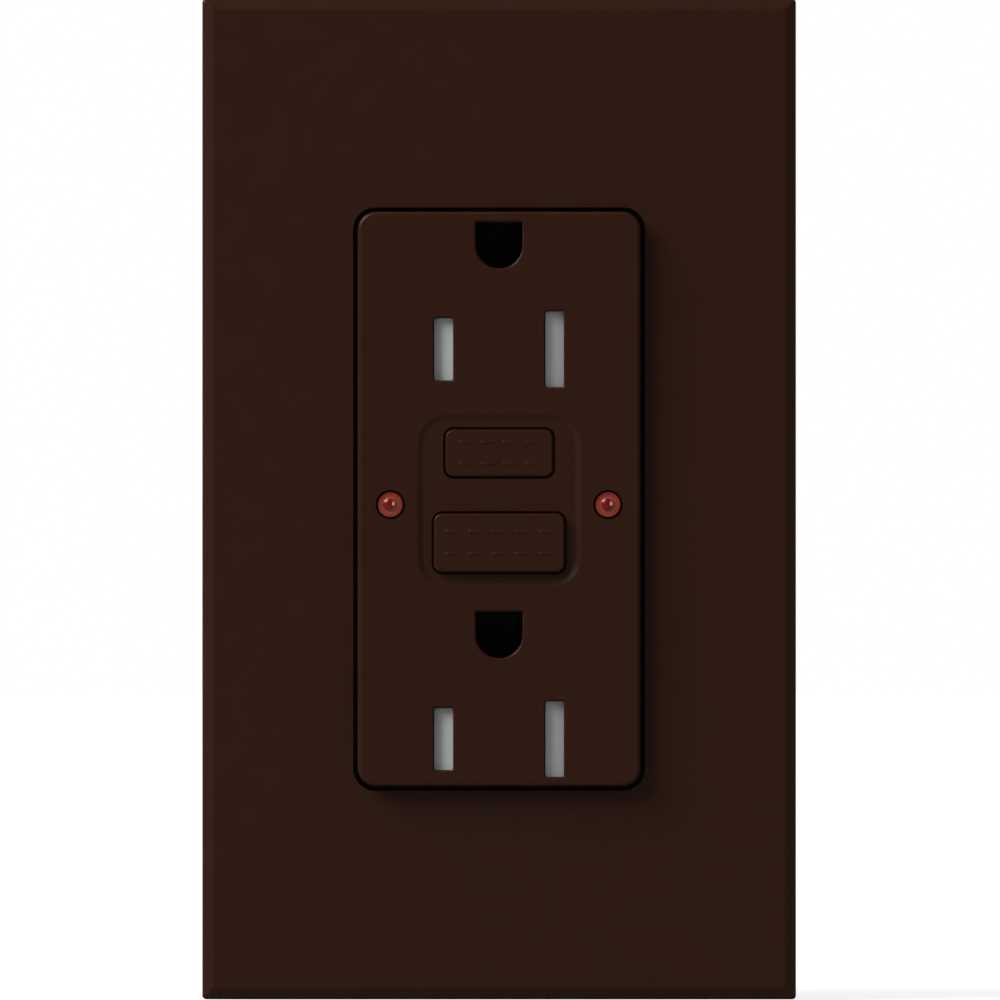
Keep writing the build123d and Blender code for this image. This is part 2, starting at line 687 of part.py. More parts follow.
def clear_of_posts(outline, gap):
    """An outline with its corners cut away around the housing's four screw posts."""
    radius = POST_R + gap
    reach = 8
    for x, y in corners(ASSEMBLY_X, ASSEMBLY_Y):
        outline -= Pos(x, y) * Circle(radius)
        outline -= Pos(x + copysign(reach / 2, x), y) * Rectangle(reach, 2 * radius)
        outline -= Pos(x, y + copysign(reach / 2, y)) * Rectangle(2 * radius, reach)
    return outline


def tray_outline(inset=0.0):
    outline = Rectangle(TRAY_W - 2 * inset, TRAY_H - 2 * inset)
    return clear_of_posts(outline, 0.3 + inset)


def contact_carrier():
    body = slab(RectangleRounded(FLANGE_W, FLANGE_H, FLANGE_R), -CARRIER_FLANGE_T, 0)
    body += slab(tray_outline(), -TRAY_DEPTH, 0)
    for y in OUTLET_Y.values():
        pin_y = y + GROUND_RISE
        body += rod(0, pin_y, 4.3, TRAY_FLOOR - 2.8, TRAY_FLOOR) & slab(tray_outline(), -50, 1)
    body -= slab(tray_outline(TRAY_WALL), TRAY_FLOOR, 1)
    well = slab(tray_outline(TRAY_WALL), -50, 1)
    for y in OUTLET_Y.values():
        body -= rod(0, y + GROUND_RISE, 3.5, TRAY_FLOOR - 2.0, 1) & well
    body -= rod(0, RESET_Y, PIN_R + 0.15, -TRAY_DEPTH - 1, 0)
    for sx in (-1, 1):
        body -= rod(sx * CONTACT_X, RESET_Y, FIXED_CONTACT_R + 0.2, -TRAY_DEPTH - 1, 0)
        body -= rod(sx * LENS_X, LENS_Y, PIPE_R + 0.2, -TRAY_DEPTH - 1, 1)
        inner = TRAY_W / 2 - TRAY_WALL - 0.5
        outer = TERMINAL_PLATE_X + TERMINAL_PLATE_T + 0.3
        strip = sorted((sx * inner, sx * outer))
        body -= block(strip, about(-TERMINAL_Y, 5.2), (TRAY_FLOOR, 1))
        plate = sorted((sx * (TERMINAL_PLATE_X - 0.3), sx * outer))
        body -= block(plate, about(-TERMINAL_Y, TERMINAL_PLATE_W + 0.6), (-CARRIER_FLANGE_T - 1, 1))
        apron = sorted((sx * BAY_OUTER_X, sx * FLANGE_W / 2))
        for sy in (-1, 1):
            window = about(sy * TERMINAL_Y, WINDOW_H - 0.4)
            body += block(apron, window, (-8.0, -CARRIER_FLANGE_T))
        guide = sorted((sx * (BLOCK_W / 2 + 0.2), sx * (BLOCK_W / 2 + 1.2)))
        wing = sorted((sx * (BLOCK_W / 2 - 0.8), sx * (BLOCK_W / 2 + 1.2)))
        ends = about(RESET_Y, BLOCK_L + 0.2)
        body += block(guide, (ends[0] - 1, ends[1] + 1), (BOARD_TOP + 0.6, -TRAY_DEPTH))
        body += block(wing, (ends[0] - 1, ends[0]), (BOARD_TOP + 0.6, -TRAY_DEPTH))
        body += block(wing, (ends[1], ends[1] + 1), (BOARD_TOP + 0.6, -TRAY_DEPTH))
    for x, y in corners(ASSEMBLY_X, ASSEMBLY_Y):
        body -= rod(x, y, ASSEMBLY_SCREW_R + 0.15, -TRAY_DEPTH, 1)
    tab = (-TAB_X - 0.3, -TAB_X + STRAP_T + 0.3)
    body -= block(tab, about(TAB_Y, TAB_W + 0.6), (-CARRIER_FLANGE_T - 1, 1))
    seat_x = (TEST_BLADE_ROOT, TRAY_W / 2 - 0.5)
    return body + block(seat_x, about(TEST_Y, 4.0), (TRAY_FLOOR, TEST_BLADE_TOP - 0.4))


def wire_port(x, y):
    """A funnel-mouthed hole for one wire, through the rear floor."""
    hole = Pos(x, y) * RectangleRounded(WIRE_PORT, WIRE_PORT, 0.8)
    mouth = offset(hole, 0.5)
    funnel = loft([Pos(0, 0, -BODY_DEPTH) * mouth, Pos(0, 0, -BODY_DEPTH + 0.8) * hole])
    return slab(hole, -BODY_DEPTH - 1, HOUSING_FLOOR + 1) + funnel


def back_relief():
    """What is sunk into the housing's back and sides: a panel, two strip gauges and the grips."""
    sunk = slab(RectangleRounded(*BACK_PANEL, 2.0), -BODY_DEPTH - 1, -BODY_DEPTH + BACK_PANEL_DEEP)
    gauge_x = (FLANGE_W - GAUGE[0]) / 2
    groove_w, groove_deep = GRIP_GROOVE
    for sx in (-1, 1):
        gauge = Pos(sx * gauge_x, 0) * RectangleRounded(*GAUGE, 0.5)
        sunk += slab(gauge, -BODY_DEPTH - 1, -BODY_DEPTH + BACK_PANEL_DEEP)
        side = sorted((sx * (FLANGE_W / 2 - groove_deep), sx * (FLANGE_W / 2 + 1)))
        for y in spread(GRIP_COUNT, GRIP_PITCH):
            sunk += block(side, about(y, groove_w), (4 - BODY_DEPTH, -6))
    return sunk


def rear_housing():
    top = -CARRIER_FLANGE_T
    outline = RectangleRounded(FLANGE_W, FLANGE_H, FLANGE_R)
    body = slab(outline, -BODY_DEPTH, top)
    body = chamfer(body.faces().sort_by(Axis.Z)[0].edges(), BODY_BEVEL)
    body -= back_relief()
    room = block(about(0, CAVITY_W), about(0, CAVITY_H), (HOUSING_FLOOR, top + 1))
    end_low = TERMINAL_Y + BAY_H / 2 + PARTITION
    side_pocket = (BAY_X, BAY_OUTER_X)
    for sx in (-1, 1):
        x = sorted((sx * side_pocket[0], sx * side_pocket[1]))
        room += block(x, about(0, 2 * TERMINAL_Y - BAY_H - 2 * PARTITION), (HOUSING_FLOOR, top + 1))
        for sy in (-1, 1):
            room += block(x, about(sy * TERMINAL_Y, BAY_H), (HOUSING_FLOOR, top + 1))
            room += block(x, sorted((sy * end_low, sy * CAVITY_H / 2)), (HOUSING_FLOOR, top + 1))
    for x, y in corners(ASSEMBLY_X, ASSEMBLY_Y):
        room -= rod(x, y, POST_R, HOUSING_FLOOR - 1, top + 2)
    body -= room
    slot_x = (PARTITION_X - 1, BAY_X + 1)
    window_x = (BAY_OUTER_X - 1, FLANGE_W / 2 + 1)
    for sx in (-1, 1):
        for sy in (-1, 1):
            y = sy * TERMINAL_Y
            slot = sorted((sx * slot_x[0], sx * slot_x[1]))
            body -= block(slot, about(y, 5.0), (TERMINAL_Z - 5.9, top + 1))
            window = sorted((sx * window_x[0], sx * window_x[1]))
            body -= block(window, about(y, WINDOW_H), (TERMINAL_Z - 4.9, top + 1))
            for wy in (-WIRE_OFFSET, WIRE_OFFSET):
                body -= wire_port(sx * (CLAMP_X + CLAMP_T), y + wy)
    window = (-FLANGE_W / 2 - 1, -BAY_OUTER_X + 1)
    body -= block(window, about(TAB_Y, TAB_W + 1.2), (-TAB_DEPTH - 1.5, top + 1))
    for x, y in corners(ASSEMBLY_X, ASSEMBLY_Y):
        body -= rod(x, y, ASSEMBLY_SCREW_R + 0.15, -BODY_DEPTH - 1, 1)
        body -= rod(x, y, 2.9, -BODY_DEPTH - 1, -BODY_DEPTH + 1.6)
    return body


def assembly_screws():
    screws = []
    for x, y in corners(ASSEMBLY_X, ASSEMBLY_Y):
        seat = -BODY_DEPTH + 1.6
        head = rod(x, y, 2.7, seat - 1.5, seat)
        head -= block(about(x, 6), about(y, 0.8), (seat - 2, seat - 0.9))
        screws.append(head + rod(x, y, ASSEMBLY_SCREW_R, seat, ROOF_UNDER - 1.2))
    return screws


# ---------------------------------------------------------------- trip mechanism


def contact_arm(side):
    """A spring arm with its moving contact, riveted on its conductor at the far end."""
    y = (RESET_Y - 2.2, ARM_PIVOT_Y + 2.8)
    arm = block(about(CONTACT_X, ARM_W), y, (ARM_UNDER, ARM_TOP))
    arm += rod(CONTACT_X, RESET_Y, 1.4, ARM_TOP - 0.1, ARM_TOP + MOVING_CONTACT_T)
    arm += rod(CONTACT_X, ARM_PIVOT_Y + 1.6, 0.9, ARM_TOP - 0.1, ARM_TOP + 0.5)
    return arm if side > 0 else other_side(arm)


def primary_conductor(side):
    """The bar that carries one line conductor up through the transformer to its arm."""
    top = ARM_UNDER
    y = TRANSFORMER_Y
    half = ARM_W / 2
    bridge = [
        (0.8, y - 0.8),
        (0.8, y + 0.8),
        (2.4, y + 0.8),
        (CONTACT_X + half, ARM_PIVOT_Y + 3.4),
        (CONTACT_X + half, ARM_PIVOT_Y + 0.2),
        (CONTACT_X - half, ARM_PIVOT_Y + 0.2),
        (CONTACT_X - half, ARM_PIVOT_Y + 2.4),
    ]
    bar = slab(Polygon(*bridge, align=None), top - 0.8, top)
    bar += block((0.8, 2.4), about(y, 1.6), (BOARD_UNDER - 0.6, top - 0.4))
    return bar if side > 0 else other_side(bar)


def latch_block():
    half = BLOCK_L / 2
    y = (RESET_Y - half, RESET_Y + half)
    body = block(about(0, BLOCK_W), y, (BLOCK_UNDER, BLOCK_TOP))
    for sx in (-1, 1):
        ridge = about(sx * CONTACT_X, ARM_W - 0.6)
        body += block(ridge, about(RESET_Y, 0.8), (BLOCK_TOP - 0.1, ARM_UNDER - 0.15))
    body -= rod(0, RESET_Y, PIN_R + 0.08, BLOCK_UNDER - 1, BLOCK_TOP + 1)
    slot_z = about(LATCH_Z, LATCH_T + 0.2)
    body -= block(about(0, LATCH_W + 0.2), (y[0] - 1, y[1] + 1), slot_z)
    groove = (y[0] - 1, y[0] + 1.1)
    return body - block(about(0, 2 * PLUNGER_TIP_R + 0.6), groove, (BLOCK_UNDER - 1, BLOCK_TOP + 1))


def latch_plate():
    """The sliding plate whose keyhole holds the reset pin by its neck."""
    low = RESET_Y - BLOCK_L / 2 - 0.9
    high = RESET_Y + BLOCK_L / 2 + 0.6
    z = about(LATCH_Z, LATCH_T)
    plate = block(about(0, LATCH_W), (low, high), z)
    plate -= rod(0, RESET_Y - PLUNGER_TRAVEL, PIN_R + 0.15, z[0] - 1, z[1] + 1)
    plate -= rod(0, RESET_Y, PIN_NECK_R + 0.1, z[0] - 1, z[1] + 1)
    neck = about(0, 2 * (PIN_NECK_R + 0.1))
    return plate - block(neck, (RESET_Y - PLUNGER_TRAVEL, RESET_Y), (z[0] - 1, z[1] + 1))


def reset_pin():
    top = RECESS_FLOOR + RESET_PROUD - 1.9
    low = LATCH_Z - LATCH_T / 2 - 0.1
    high = LATCH_Z + LATCH_T / 2 + 0.1
    pin = rod(0, RESET_Y, PIN_R, high, top) + rod(0, RESET_Y, PIN_NECK_R, low - 0.1, high + 0.1)
    return pin + Pos(0, RESET_Y, low - 0.6) * Cone(0.6, PIN_R, 1.2)


def reset_spring():
    top = RECESS_FLOOR + RESET_PROUD - 1.6
    low = TRAY_FLOOR + REST_GAP
    return Pos(0, RESET_Y, low) * coil_spring(2.35, 0.5, top - low, 8)


def solenoid_span():
    """The inner faces of the frame's two ends, along y."""
    plunger_stop = RESET_Y - BLOCK_L / 2 - 5.2
    return (plunger_stop - 13.8, plunger_stop)


def solenoid_frame():
    low, high = solenoid_span()
    top = LATCH_Z + 4.8
    body = block(about(0, 11), (low - 1.2, high + 1.2), (BOARD_TOP, top))
    body -= block(about(0, 12), (low, high), (LATCH_Z - COIL_R - 0.3, top + 1))
    body -= rod_y(0, LATCH_Z, PLUNGER_R + 0.1, low - 2, low + 1)
    return body - rod_y(0, LATCH_Z, PLUNGER_TIP_R + 0.12, high - 1, high + 2)


def solenoid_bobbin():
    low, high = solenoid_span()
    body = rod_y(0, LATCH_Z, 2.7, low, high)
    for edge in ((low, low + 0.8), (high - 0.8, high)):
        body += rod_y(0, LATCH_Z, COIL_R + 0.2, *edge)
    return body - rod_y(0, LATCH_Z, PLUNGER_R + 0.08, low - 1, high + 1)


def solenoid_coil():
    low, high = solenoid_span()
    winding = rod_y(0, LATCH_Z, COIL_R, low + 0.8, high - 0.8)
    return winding - rod_y(0, LATCH_Z, 2.7, low, high)


def plunger_ends():
    """The plunger's head, shoulder and tip along y."""
    low, high = solenoid_span()
    tip = RESET_Y - BLOCK_L / 2 - 0.9 - REST_GAP
    return low - 4.4, high - PLUNGER_TRAVEL - REST_GAP, tip


def plunger():
    head, shoulder, tip = plunger_ends()
    body = rod_y(0, LATCH_Z, PLUNGER_R, head, shoulder)
    body += rod_y(0, LATCH_Z, PLUNGER_TIP_R, shoulder, tip)
    return body + rod_y(0, LATCH_Z, 3.2, head - 0.8, head)


def plunger_spring():
    head = plunger_ends()[0]
    seat = solenoid_span()[0] - 1.2
    spring = coil_spring(2.5, 0.35, seat - head, 3)
    return Pos(0, head, LATCH_Z) * Rot(-90, 0, 0) * spring


def test_blade():
    """The leaf under the test button, fixed at its right-hand end."""
    low = TEST_BLADE_TOP - 0.4
    leaf = block((-3.0, TEST_BLADE_ROOT + 1.2), about(TEST_Y, 3.0), (low, TEST_BLADE_TOP))
    return leaf + rod(TEST_BLADE_ROOT + 0.6, TEST_Y, 0.5, low, TEST_BLADE_TOP + 0.4)


def test_resistor():
    """The test resistor lying in the tray, with one lead standing under the leaf's tip."""
    z = TRAY_FLOOR + 1.3
    body = rod_y(-2.0, z, 1.2, TEST_Y + 1.6, TEST_Y + 7.6)
    body += rod_y(-2.0, z, 0.3, TEST_Y - 0.3, TEST_Y + 9.0)
    return body + rod(-2.0, TEST_Y, 0.35, z - 0.5, TEST_BLADE_TOP - 2.6)


# ---------------------------------------------------------------- board


def circuit_board():
    outline = clear_of_posts(Rectangle(CAVITY_W - 0.8, CAVITY_H - 0.8), 0.3)
    board = slab(outline, BOARD_UNDER, BOARD_TOP)
    leg_x = TERMINAL_PLATE_X - 4.1
    for sx in (-1, 1):
        board -= block(about(sx * leg_x, 1.2), about(TERMINAL_Y, 2.0), (BOARD_UNDER - 1, BOARD_TOP + 1))
        board -= block(about(sx * 1.6, 1.8), about(TRANSFORMER_Y, 1.8), (BOARD_UNDER - 1, BOARD_TOP + 1))
    return board


def transformer_housing():
    body = rod(0, TRANSFORMER_Y, TRANSFORMER_R, BOARD_TOP, BOARD_TOP + TRANSFORMER_H)
    body -= rod(0, TRANSFORMER_Y, TRANSFORMER_R - 0.8, BOARD_TOP + 0.8, BOARD_TOP + TRANSFORMER_H + 1)
    body += rod(0, TRANSFORMER_Y, 4.2, BOARD_TOP, BOARD_TOP + TRANSFORMER_H)
    return body - rod(0, TRANSFORMER_Y, 3.5, BOARD_TOP - 1, BOARD_TOP + TRANSFORMER_H + 1)


def transformer_cores():
    cores = []
    for low in (0.9, 4.4):
        core = rod(0, TRANSFORMER_Y, TRANSFORMER_R - 1.1, BOARD_TOP + low, BOARD_TOP + low + 3.2)
        core -= rod(0, TRANSFORMER_Y, 4.5, BOARD_TOP, BOARD_TOP + TRANSFORMER_H)
        cores.append(core)
    return cores


def control_chip():
    width, depth = CHIP_SIZE
    body = block(about(0, width), about(CHIP_Y, depth), (BOARD_TOP + 0.2, BOARD_TOP + 1.9))
    for x in spread(CHIP_LEGS, CHIP_PITCH):
        for sy in (-1, 1):
            leg = sorted((CHIP_Y + sy * (depth / 2 - 0.1), CHIP_Y + sy * (depth / 2 + 0.9)))
            body += block(about(x, 0.6), leg, (BOARD_TOP, BOARD_TOP + 0.8))
    return body


def capacitors():
    cans = []
    for x, y in CAN_PLACES:
        can = rod(x, y, CAN_R, BOARD_TOP, BOARD_TOP + CAN_H)
        cans.append(fillet(can.faces().sort_by(Axis.Z)[-1].edges(), 0.5))
    return cans


def varistor():
    """A disc that stands on edge on its two leads."""
    x, y = VARISTOR_PLACE
    disc = rod_x(y, BOARD_TOP + VARISTOR_R + 0.5, VARISTOR_R, *about(x, VARISTOR_T))
    disc = fillet(disc.edges().filter_by(GeomType.CIRCLE), VARISTOR_T / 4)
    for sy in (-1, 1):
        disc += rod(x, y + sy * 1.8, LEAD_R, BOARD_TOP, BOARD_TOP + 3)
    return disc


def thyristor():
    """A round case with one flat, on three leads."""
    x, y = THYRISTOR_PLACE
    body = rod(x, y, THYRISTOR_R, BOARD_TOP + 0.8, BOARD_TOP + 5.2)
    body -= block(about(x, 6), (y + 1.2, y + 4), (BOARD_TOP, BOARD_TOP + 6))
    for step in spread(3, 1.2):
        body += rod(x + step, y, 0.25, BOARD_TOP, BOARD_TOP + 1)
    return body


def resistors():
    bodies = []
    middle = BOARD_TOP + 1.2
    for x, y in RESISTOR_PLACES:
        body = rod_x(y, middle, RESISTOR_R, *about(x, RESISTOR_L))
        body = chamfer(body.edges().filter_by(GeomType.CIRCLE), 0.3)
        end = RESISTOR_L / 2
        for sx in (-1, 1):
            body += rod_x(y, middle, 0.25, *sorted((x + sx * (end - 0.2), x + sx * (end + 0.9))))
            body += rod(x + sx * (end + 0.9), y, 0.28, BOARD_TOP, middle + 0.4)
        bodies.append(body)
    return bodies


def indicator_leds():
    lamps = []
    for sx in (-1, 1):
        lamp = rod(sx * LED_X, LENS_Y, LED_R, BOARD_TOP, BOARD_TOP + LED_H)
        lamps.append(fillet(lamp.faces().sort_by(Axis.Z)[-1].edges(), 0.7))
    return lamps


# ---------------------------------------------------------------- the whole device


def terminals():
    """The clamp plates and screws of the line, load and ground terminals."""
    found = {}
    inner_end = TERMINAL_PLATE_X - 4.4
    seat = CLAMP_X + CLAMP_T
    for end, y in (("line", TERMINAL_Y), ("load", -TERMINAL_Y)):
        for pole, side in (("hot", -1), ("neutral", 1)):
            found[f"{end}_{pole}_clamp"] = clamp_plate(y, TERMINAL_Z, CLAMP_X, side)
            found[f"{end}_{pole}_screw"] = terminal_screw(y, TERMINAL_Z, inner_end, seat, side)
    ground_x = TAB_X + REST_GAP
    found["ground_clamp"] = clamp_plate(TAB_Y, GROUND_SCREW_Z, ground_x, -1, 8.2, 8.0)
    ground_end = TAB_X - STRAP_T - 2.6
    found["ground_screw"] = terminal_screw(TAB_Y, GROUND_SCREW_Z, ground_end, ground_x + CLAMP_T, -1)
    return found


def outlets():
    """What each outlet holds behind its slots."""
    found = {}
    for name, y in OUTLET_Y.items():
        found[f"shutter_guide_{name}"] = shutter_guide(y)
        found[f"shutter_{name}_hot"] = shutter(y, -1)
        found[f"shutter_{name}_neutral"] = shutter(y, 1)
        found[f"shutter_spring_{name}"] = shutter_spring(y)
        found[f"ground_contact_{name}"] = ground_contact(y)
    return found


def device():
    nodes = {
        "wallplate_cover": wallplate_cover(),
        "wallplate_base": wallplate_base(),
        "wallplate_screws": wallplate_screws(),
        "face_cover": face_cover(),
        "test_button": test_button(),
        "reset_button": reset_button(),
        "lenses": [lens(-1), lens(1)],
        "mounting_strap": mounting_strap(),
        "ground_rivets": ground_rivets(),
        "box_screws": box_screws(),
        "screw_retainers": screw_retainers(),
        "contact_carrier": contact_carrier(),
        "hot_bus": bus(-1),
        "neutral_bus": bus(1),
        "line_hot_terminal": line_terminal(-1),
        "line_neutral_terminal": line_terminal(1),
        "rear_housing": rear_housing(),
        "assembly_screws": assembly_screws(),
        "contact_arms": [contact_arm(-1), contact_arm(1)],
        "primary_conductors": [primary_conductor(-1), primary_conductor(1)],
        "latch_block": latch_block(),
        "latch_plate": latch_plate(),
        "reset_pin": reset_pin(),
        "reset_spring": reset_spring(),
        "solenoid_frame": solenoid_frame(),
        "solenoid_bobbin": solenoid_bobbin(),
        "solenoid_coil": solenoid_coil(),
        "plunger": plunger(),
        "plunger_spring": plunger_spring(),
        "test_blade": test_blade(),
        "test_resistor": test_resistor(),
        "circuit_board": circuit_board(),
        "transformer_housing": transformer_housing(),
        "transformer_cores": transformer_cores(),
        "control_chip": control_chip(),
        "capacitors": capacitors(),
        "varistor": varistor(),
        "thyristor": thyristor(),
        "resistors": resistors(),
        "indicator_leds": indicator_leds(),
    }
    return nodes | outlets() | terminals()


def main():
    os.makedirs("parts", exist_ok=True)
    nodes = device()
    for name, shape in nodes.items():
        group = Compound(children=shape) if isinstance(shape, list) else shape
        export_step(TO_ROW * group, f"parts/{name}.step")
    print(len(nodes), "nodes")


main()
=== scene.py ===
import math
from collections import namedtuple

import bmesh
import bpy
from mathutils import Matrix, Vector


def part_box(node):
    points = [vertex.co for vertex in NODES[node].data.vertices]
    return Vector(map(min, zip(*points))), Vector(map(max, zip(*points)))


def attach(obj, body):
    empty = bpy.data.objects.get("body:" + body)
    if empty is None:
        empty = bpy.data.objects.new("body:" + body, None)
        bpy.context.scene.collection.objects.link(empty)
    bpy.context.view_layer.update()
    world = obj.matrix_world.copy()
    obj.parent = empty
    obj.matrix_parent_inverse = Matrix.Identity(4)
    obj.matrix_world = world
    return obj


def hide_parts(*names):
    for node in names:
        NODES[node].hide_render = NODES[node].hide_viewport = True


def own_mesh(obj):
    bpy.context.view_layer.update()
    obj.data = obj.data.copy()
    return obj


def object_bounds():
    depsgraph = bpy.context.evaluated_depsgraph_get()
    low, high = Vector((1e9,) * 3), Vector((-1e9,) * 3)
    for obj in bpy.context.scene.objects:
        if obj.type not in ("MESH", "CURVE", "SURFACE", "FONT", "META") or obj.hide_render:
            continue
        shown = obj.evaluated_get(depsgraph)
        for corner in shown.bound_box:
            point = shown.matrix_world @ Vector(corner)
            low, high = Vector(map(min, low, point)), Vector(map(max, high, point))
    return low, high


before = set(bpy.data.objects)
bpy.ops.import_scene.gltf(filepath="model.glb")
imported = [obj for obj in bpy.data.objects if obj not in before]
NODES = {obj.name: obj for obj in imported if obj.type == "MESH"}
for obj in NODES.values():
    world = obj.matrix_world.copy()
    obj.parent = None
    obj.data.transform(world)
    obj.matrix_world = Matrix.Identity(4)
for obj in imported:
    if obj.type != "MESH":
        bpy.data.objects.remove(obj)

# A duplex ground-fault outlet with a screwless wall plate. Its front faces -Y, and the wall is at
# y = 0. Blender's unit is the metre. The object's sizes here are in millimetres, and MM makes them
# metres. The studio's sizes are in metres, unless a comment says otherwise.

MM = 0.001
CAD_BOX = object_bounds()
OUTLETS = ("upper", "lower")
POLES = {"hot": -1, "neutral": 1}  # with the side of the middle that each lies on
FRONT, BACK, UP = Vector((0, -1, 0)), Vector((0, 1, 0)), Vector((0, 0, 1))
WHITE = (1.0, 1.0, 1.0, 1.0)


def srgb(red, green, blue):
    """A colour as a picture shows it, from 0 to 255, made linear."""
    linear = []
    for value in (red, green, blue):
        share = value / 255
        linear.append(share / 12.92 if share <= 0.04045 else ((share + 0.055) / 1.055) ** 2.4)
    return (*linear, 1.0)


def shaded(colour, factor):
    """A lighter or darker shade of a colour."""
    return (*(min(1.0, part * factor) for part in colour[:3]), 1.0)


# ---------------------------------------------------------------- materials


WAVE_RADIANS = 20  # how far Blender's wave texture turns in one unit
MIX_SOCKETS = {"FLOAT": (2, 3, 0), "RGBA": (6, 7, 2)}  # the Mix node's two inputs and its output


class Paint:
    """One material's nodes. Places in it are the model's, in millimetres."""

    def __init__(self, name, colour, roughness, metallic=0.0, specular=0.5):
        self.material = bpy.data.materials.new(name)
        self.material.use_nodes = True
        self.tree = self.material.node_tree
        self.shader = self.tree.nodes["Principled BSDF"]
        self.colour = colour
        self.roughness = roughness
        self.set("Base Color", colour)
        self.set("Roughness", roughness)
        self.set("Metallic", metallic)
        self.set("Specular IOR Level", specular)
        place = self.node("ShaderNodeTexCoord").outputs["Object"]
        inputs = {0: place, "Scale": 1 / MM}
        self.place = self.node("ShaderNodeVectorMath", inputs, operation="SCALE").outputs[0]
        self.relief = None

    def set(self, socket, value):
        self.shader.inputs[socket].default_value = value

    def link(self, source, socket):
        self.tree.links.new(source, self.shader.inputs[socket])

    def node(self, kind, inputs=None, **settings):
        """A new node. An input is a number, a colour or another node's output."""
        made = self.tree.nodes.new(kind)
        for key, value in settings.items():
            setattr(made, key, value)
        for key, value in (inputs or {}).items():
            if isinstance(value, bpy.types.NodeSocket):
                self.tree.links.new(value, made.inputs[key])
            else:
                made.inputs[key].default_value = value
        return made

    def calculate(self, operation, first, second=0.0):
        return self.node("ShaderNodeMath", {0: first, 1: second}, operation=operation).outputs[0]

    def product(self, first, second):
        return self.calculate("MULTIPLY", first, second)

    def remap(self, value, old_low, old_high, low=0.0, high=1.0):
        """The value taken from one range to another and held at its ends."""
        inputs = dict(enumerate((value, old_low, old_high, low, high)))
        return self.node("ShaderNodeMapRange", inputs).outputs[0]

    def both(self, first, second, share=0.5):
        """The two values added, the first in that share and the second in the rest."""
        rest = self.product(second, 1 - share)
        return self.calculate("ADD", self.product(first, share), rest)

    def mixed(self, kind, share, first, second):
        """The first value where share is 0 and the second where it is 1."""
        first_in, second_in, result = MIX_SOCKETS[kind]
        inputs = {0: share, first_in: first, second_in: second}
        return self.node("ShaderNodeMix", inputs, data_type=kind).outputs[result]

    def axis(self, letter):
        return self.node("ShaderNodeSeparateXYZ", {0: self.place}).outputs[letter]

    def noise(self, size, detail=2.0, stretch=(1.0, 1.0, 1.0)):
        """Noise with grains of about that size, stretched by that much along each axis."""
        scale = tuple(1 / (size * part) for part in stretch)
        inputs = {0: self.place, 1: scale}
        place = self.node("ShaderNodeVectorMath", inputs, operation="MULTIPLY").outputs[0]
        inputs = {"Vector": place, "Scale": 1.0, "Detail": detail}
        return self.node("ShaderNodeTexNoise", inputs).outputs[0]

    def waves(self, letter, pitch, wobble=0.0):
        """Grooves across an axis, that far apart."""
        scale = math.tau / (WAVE_RADIANS * pitch)
        inputs = {"Vector": self.place, "Scale": scale, "Distortion": wobble}
        return self.node("ShaderNodeTexWave", inputs, bands_direction=letter).outputs[1]

    def edges(self, radius=0.25):
        """1 along sharp edges and 0 away from them, by how far rounding them tilts the surface."""
        flat_cosine, edge_cosine = 0.985, 0.8
        rounded = self.node("ShaderNodeBevel", {"Radius": radius * MM}).outputs[0]
        true = self.node("ShaderNodeNewGeometry").outputs["Normal"]
        inputs = {0: rounded, 1: true}
        cosine = self.node("ShaderNodeVectorMath", inputs, operation="DOT_PRODUCT").outputs["Value"]
        return self.remap(cosine, flat_cosine, edge_cosine)

    def cover(self, share, colour):
        """Lays a colour over the present one where share is 1."""
        self.colour = self.mixed("RGBA", share, self.colour, colour)
        self.link(self.colour, "Base Color")

    def finish(self, share, roughness):
        """Makes the surface that rough where share is 1."""
        self.roughness = self.mixed("FLOAT", share, self.roughness, roughness)
        self.link(self.roughness, "Roughness")

    def raise_by(self, height, depth):
        """Adds a relief of that depth."""
        inputs = {"Height": height, "Strength": 1.0, "Distance": depth * MM}
        if self.relief:
            inputs["Normal"] = self.relief
        self.relief = self.node("ShaderNodeBump", inputs).outputs[0]
        self.link(self.relief, "Normal")


def moulded(
    name, colour, roughness, specular=0.5, grain=0.16, depth=0.004, mottle=0.05, scuffs=0.0
):
    """Moulded plastic: sparked grain, slow waves, uneven colour and gloss, edges painted lighter as
    wear and as a painted sheen, scuffs.
    """
    paint = Paint(name, colour, roughness, specular=specular)
    fine = paint.noise(grain, 3.0)
    slow = paint.noise(9.0)
    cloud = paint.both(fine, slow, 0.45)
    paint.cover(paint.remap(cloud, 0.5, 0.3), shaded(colour, 1 - mottle))
    paint.cover(paint.remap(cloud, 0.5, 0.7), shaded(colour, 1 + mottle))
    patch = paint.noise(3.5, 3.0)
    paint.finish(paint.remap(patch, 0.5, 0.3), roughness + 0.05)
    paint.finish(paint.remap(patch, 0.5, 0.7), roughness - 0.05)
    # Edges are painted lighter and smoother, partly as wear and partly as a painted sheen.
    edges = paint.edges(0.2)
    wear_and_sheen_spread = paint.remap(paint.noise(1.4, 3.0), 0.35, 0.7, low=0.1, high=0.6)
    wear_and_sheen = paint.product(edges, wear_and_sheen_spread)
    paint.cover(wear_and_sheen, shaded(colour, 1.25))
    paint.finish(wear_and_sheen, roughness * 0.75)
    if scuffs:
        streaks = paint.remap(paint.noise(0.35, 4.0, (1.0, 9.0, 9.0)), 0.62, 0.72)
        marks = paint.product(streaks, paint.remap(slow, 0.45, 0.6))
        paint.cover(paint.product(marks, scuffs), shaded(colour, 2.2))
    paint.raise_by(slow, 0.012)
    paint.raise_by(fine, depth)
    return paint


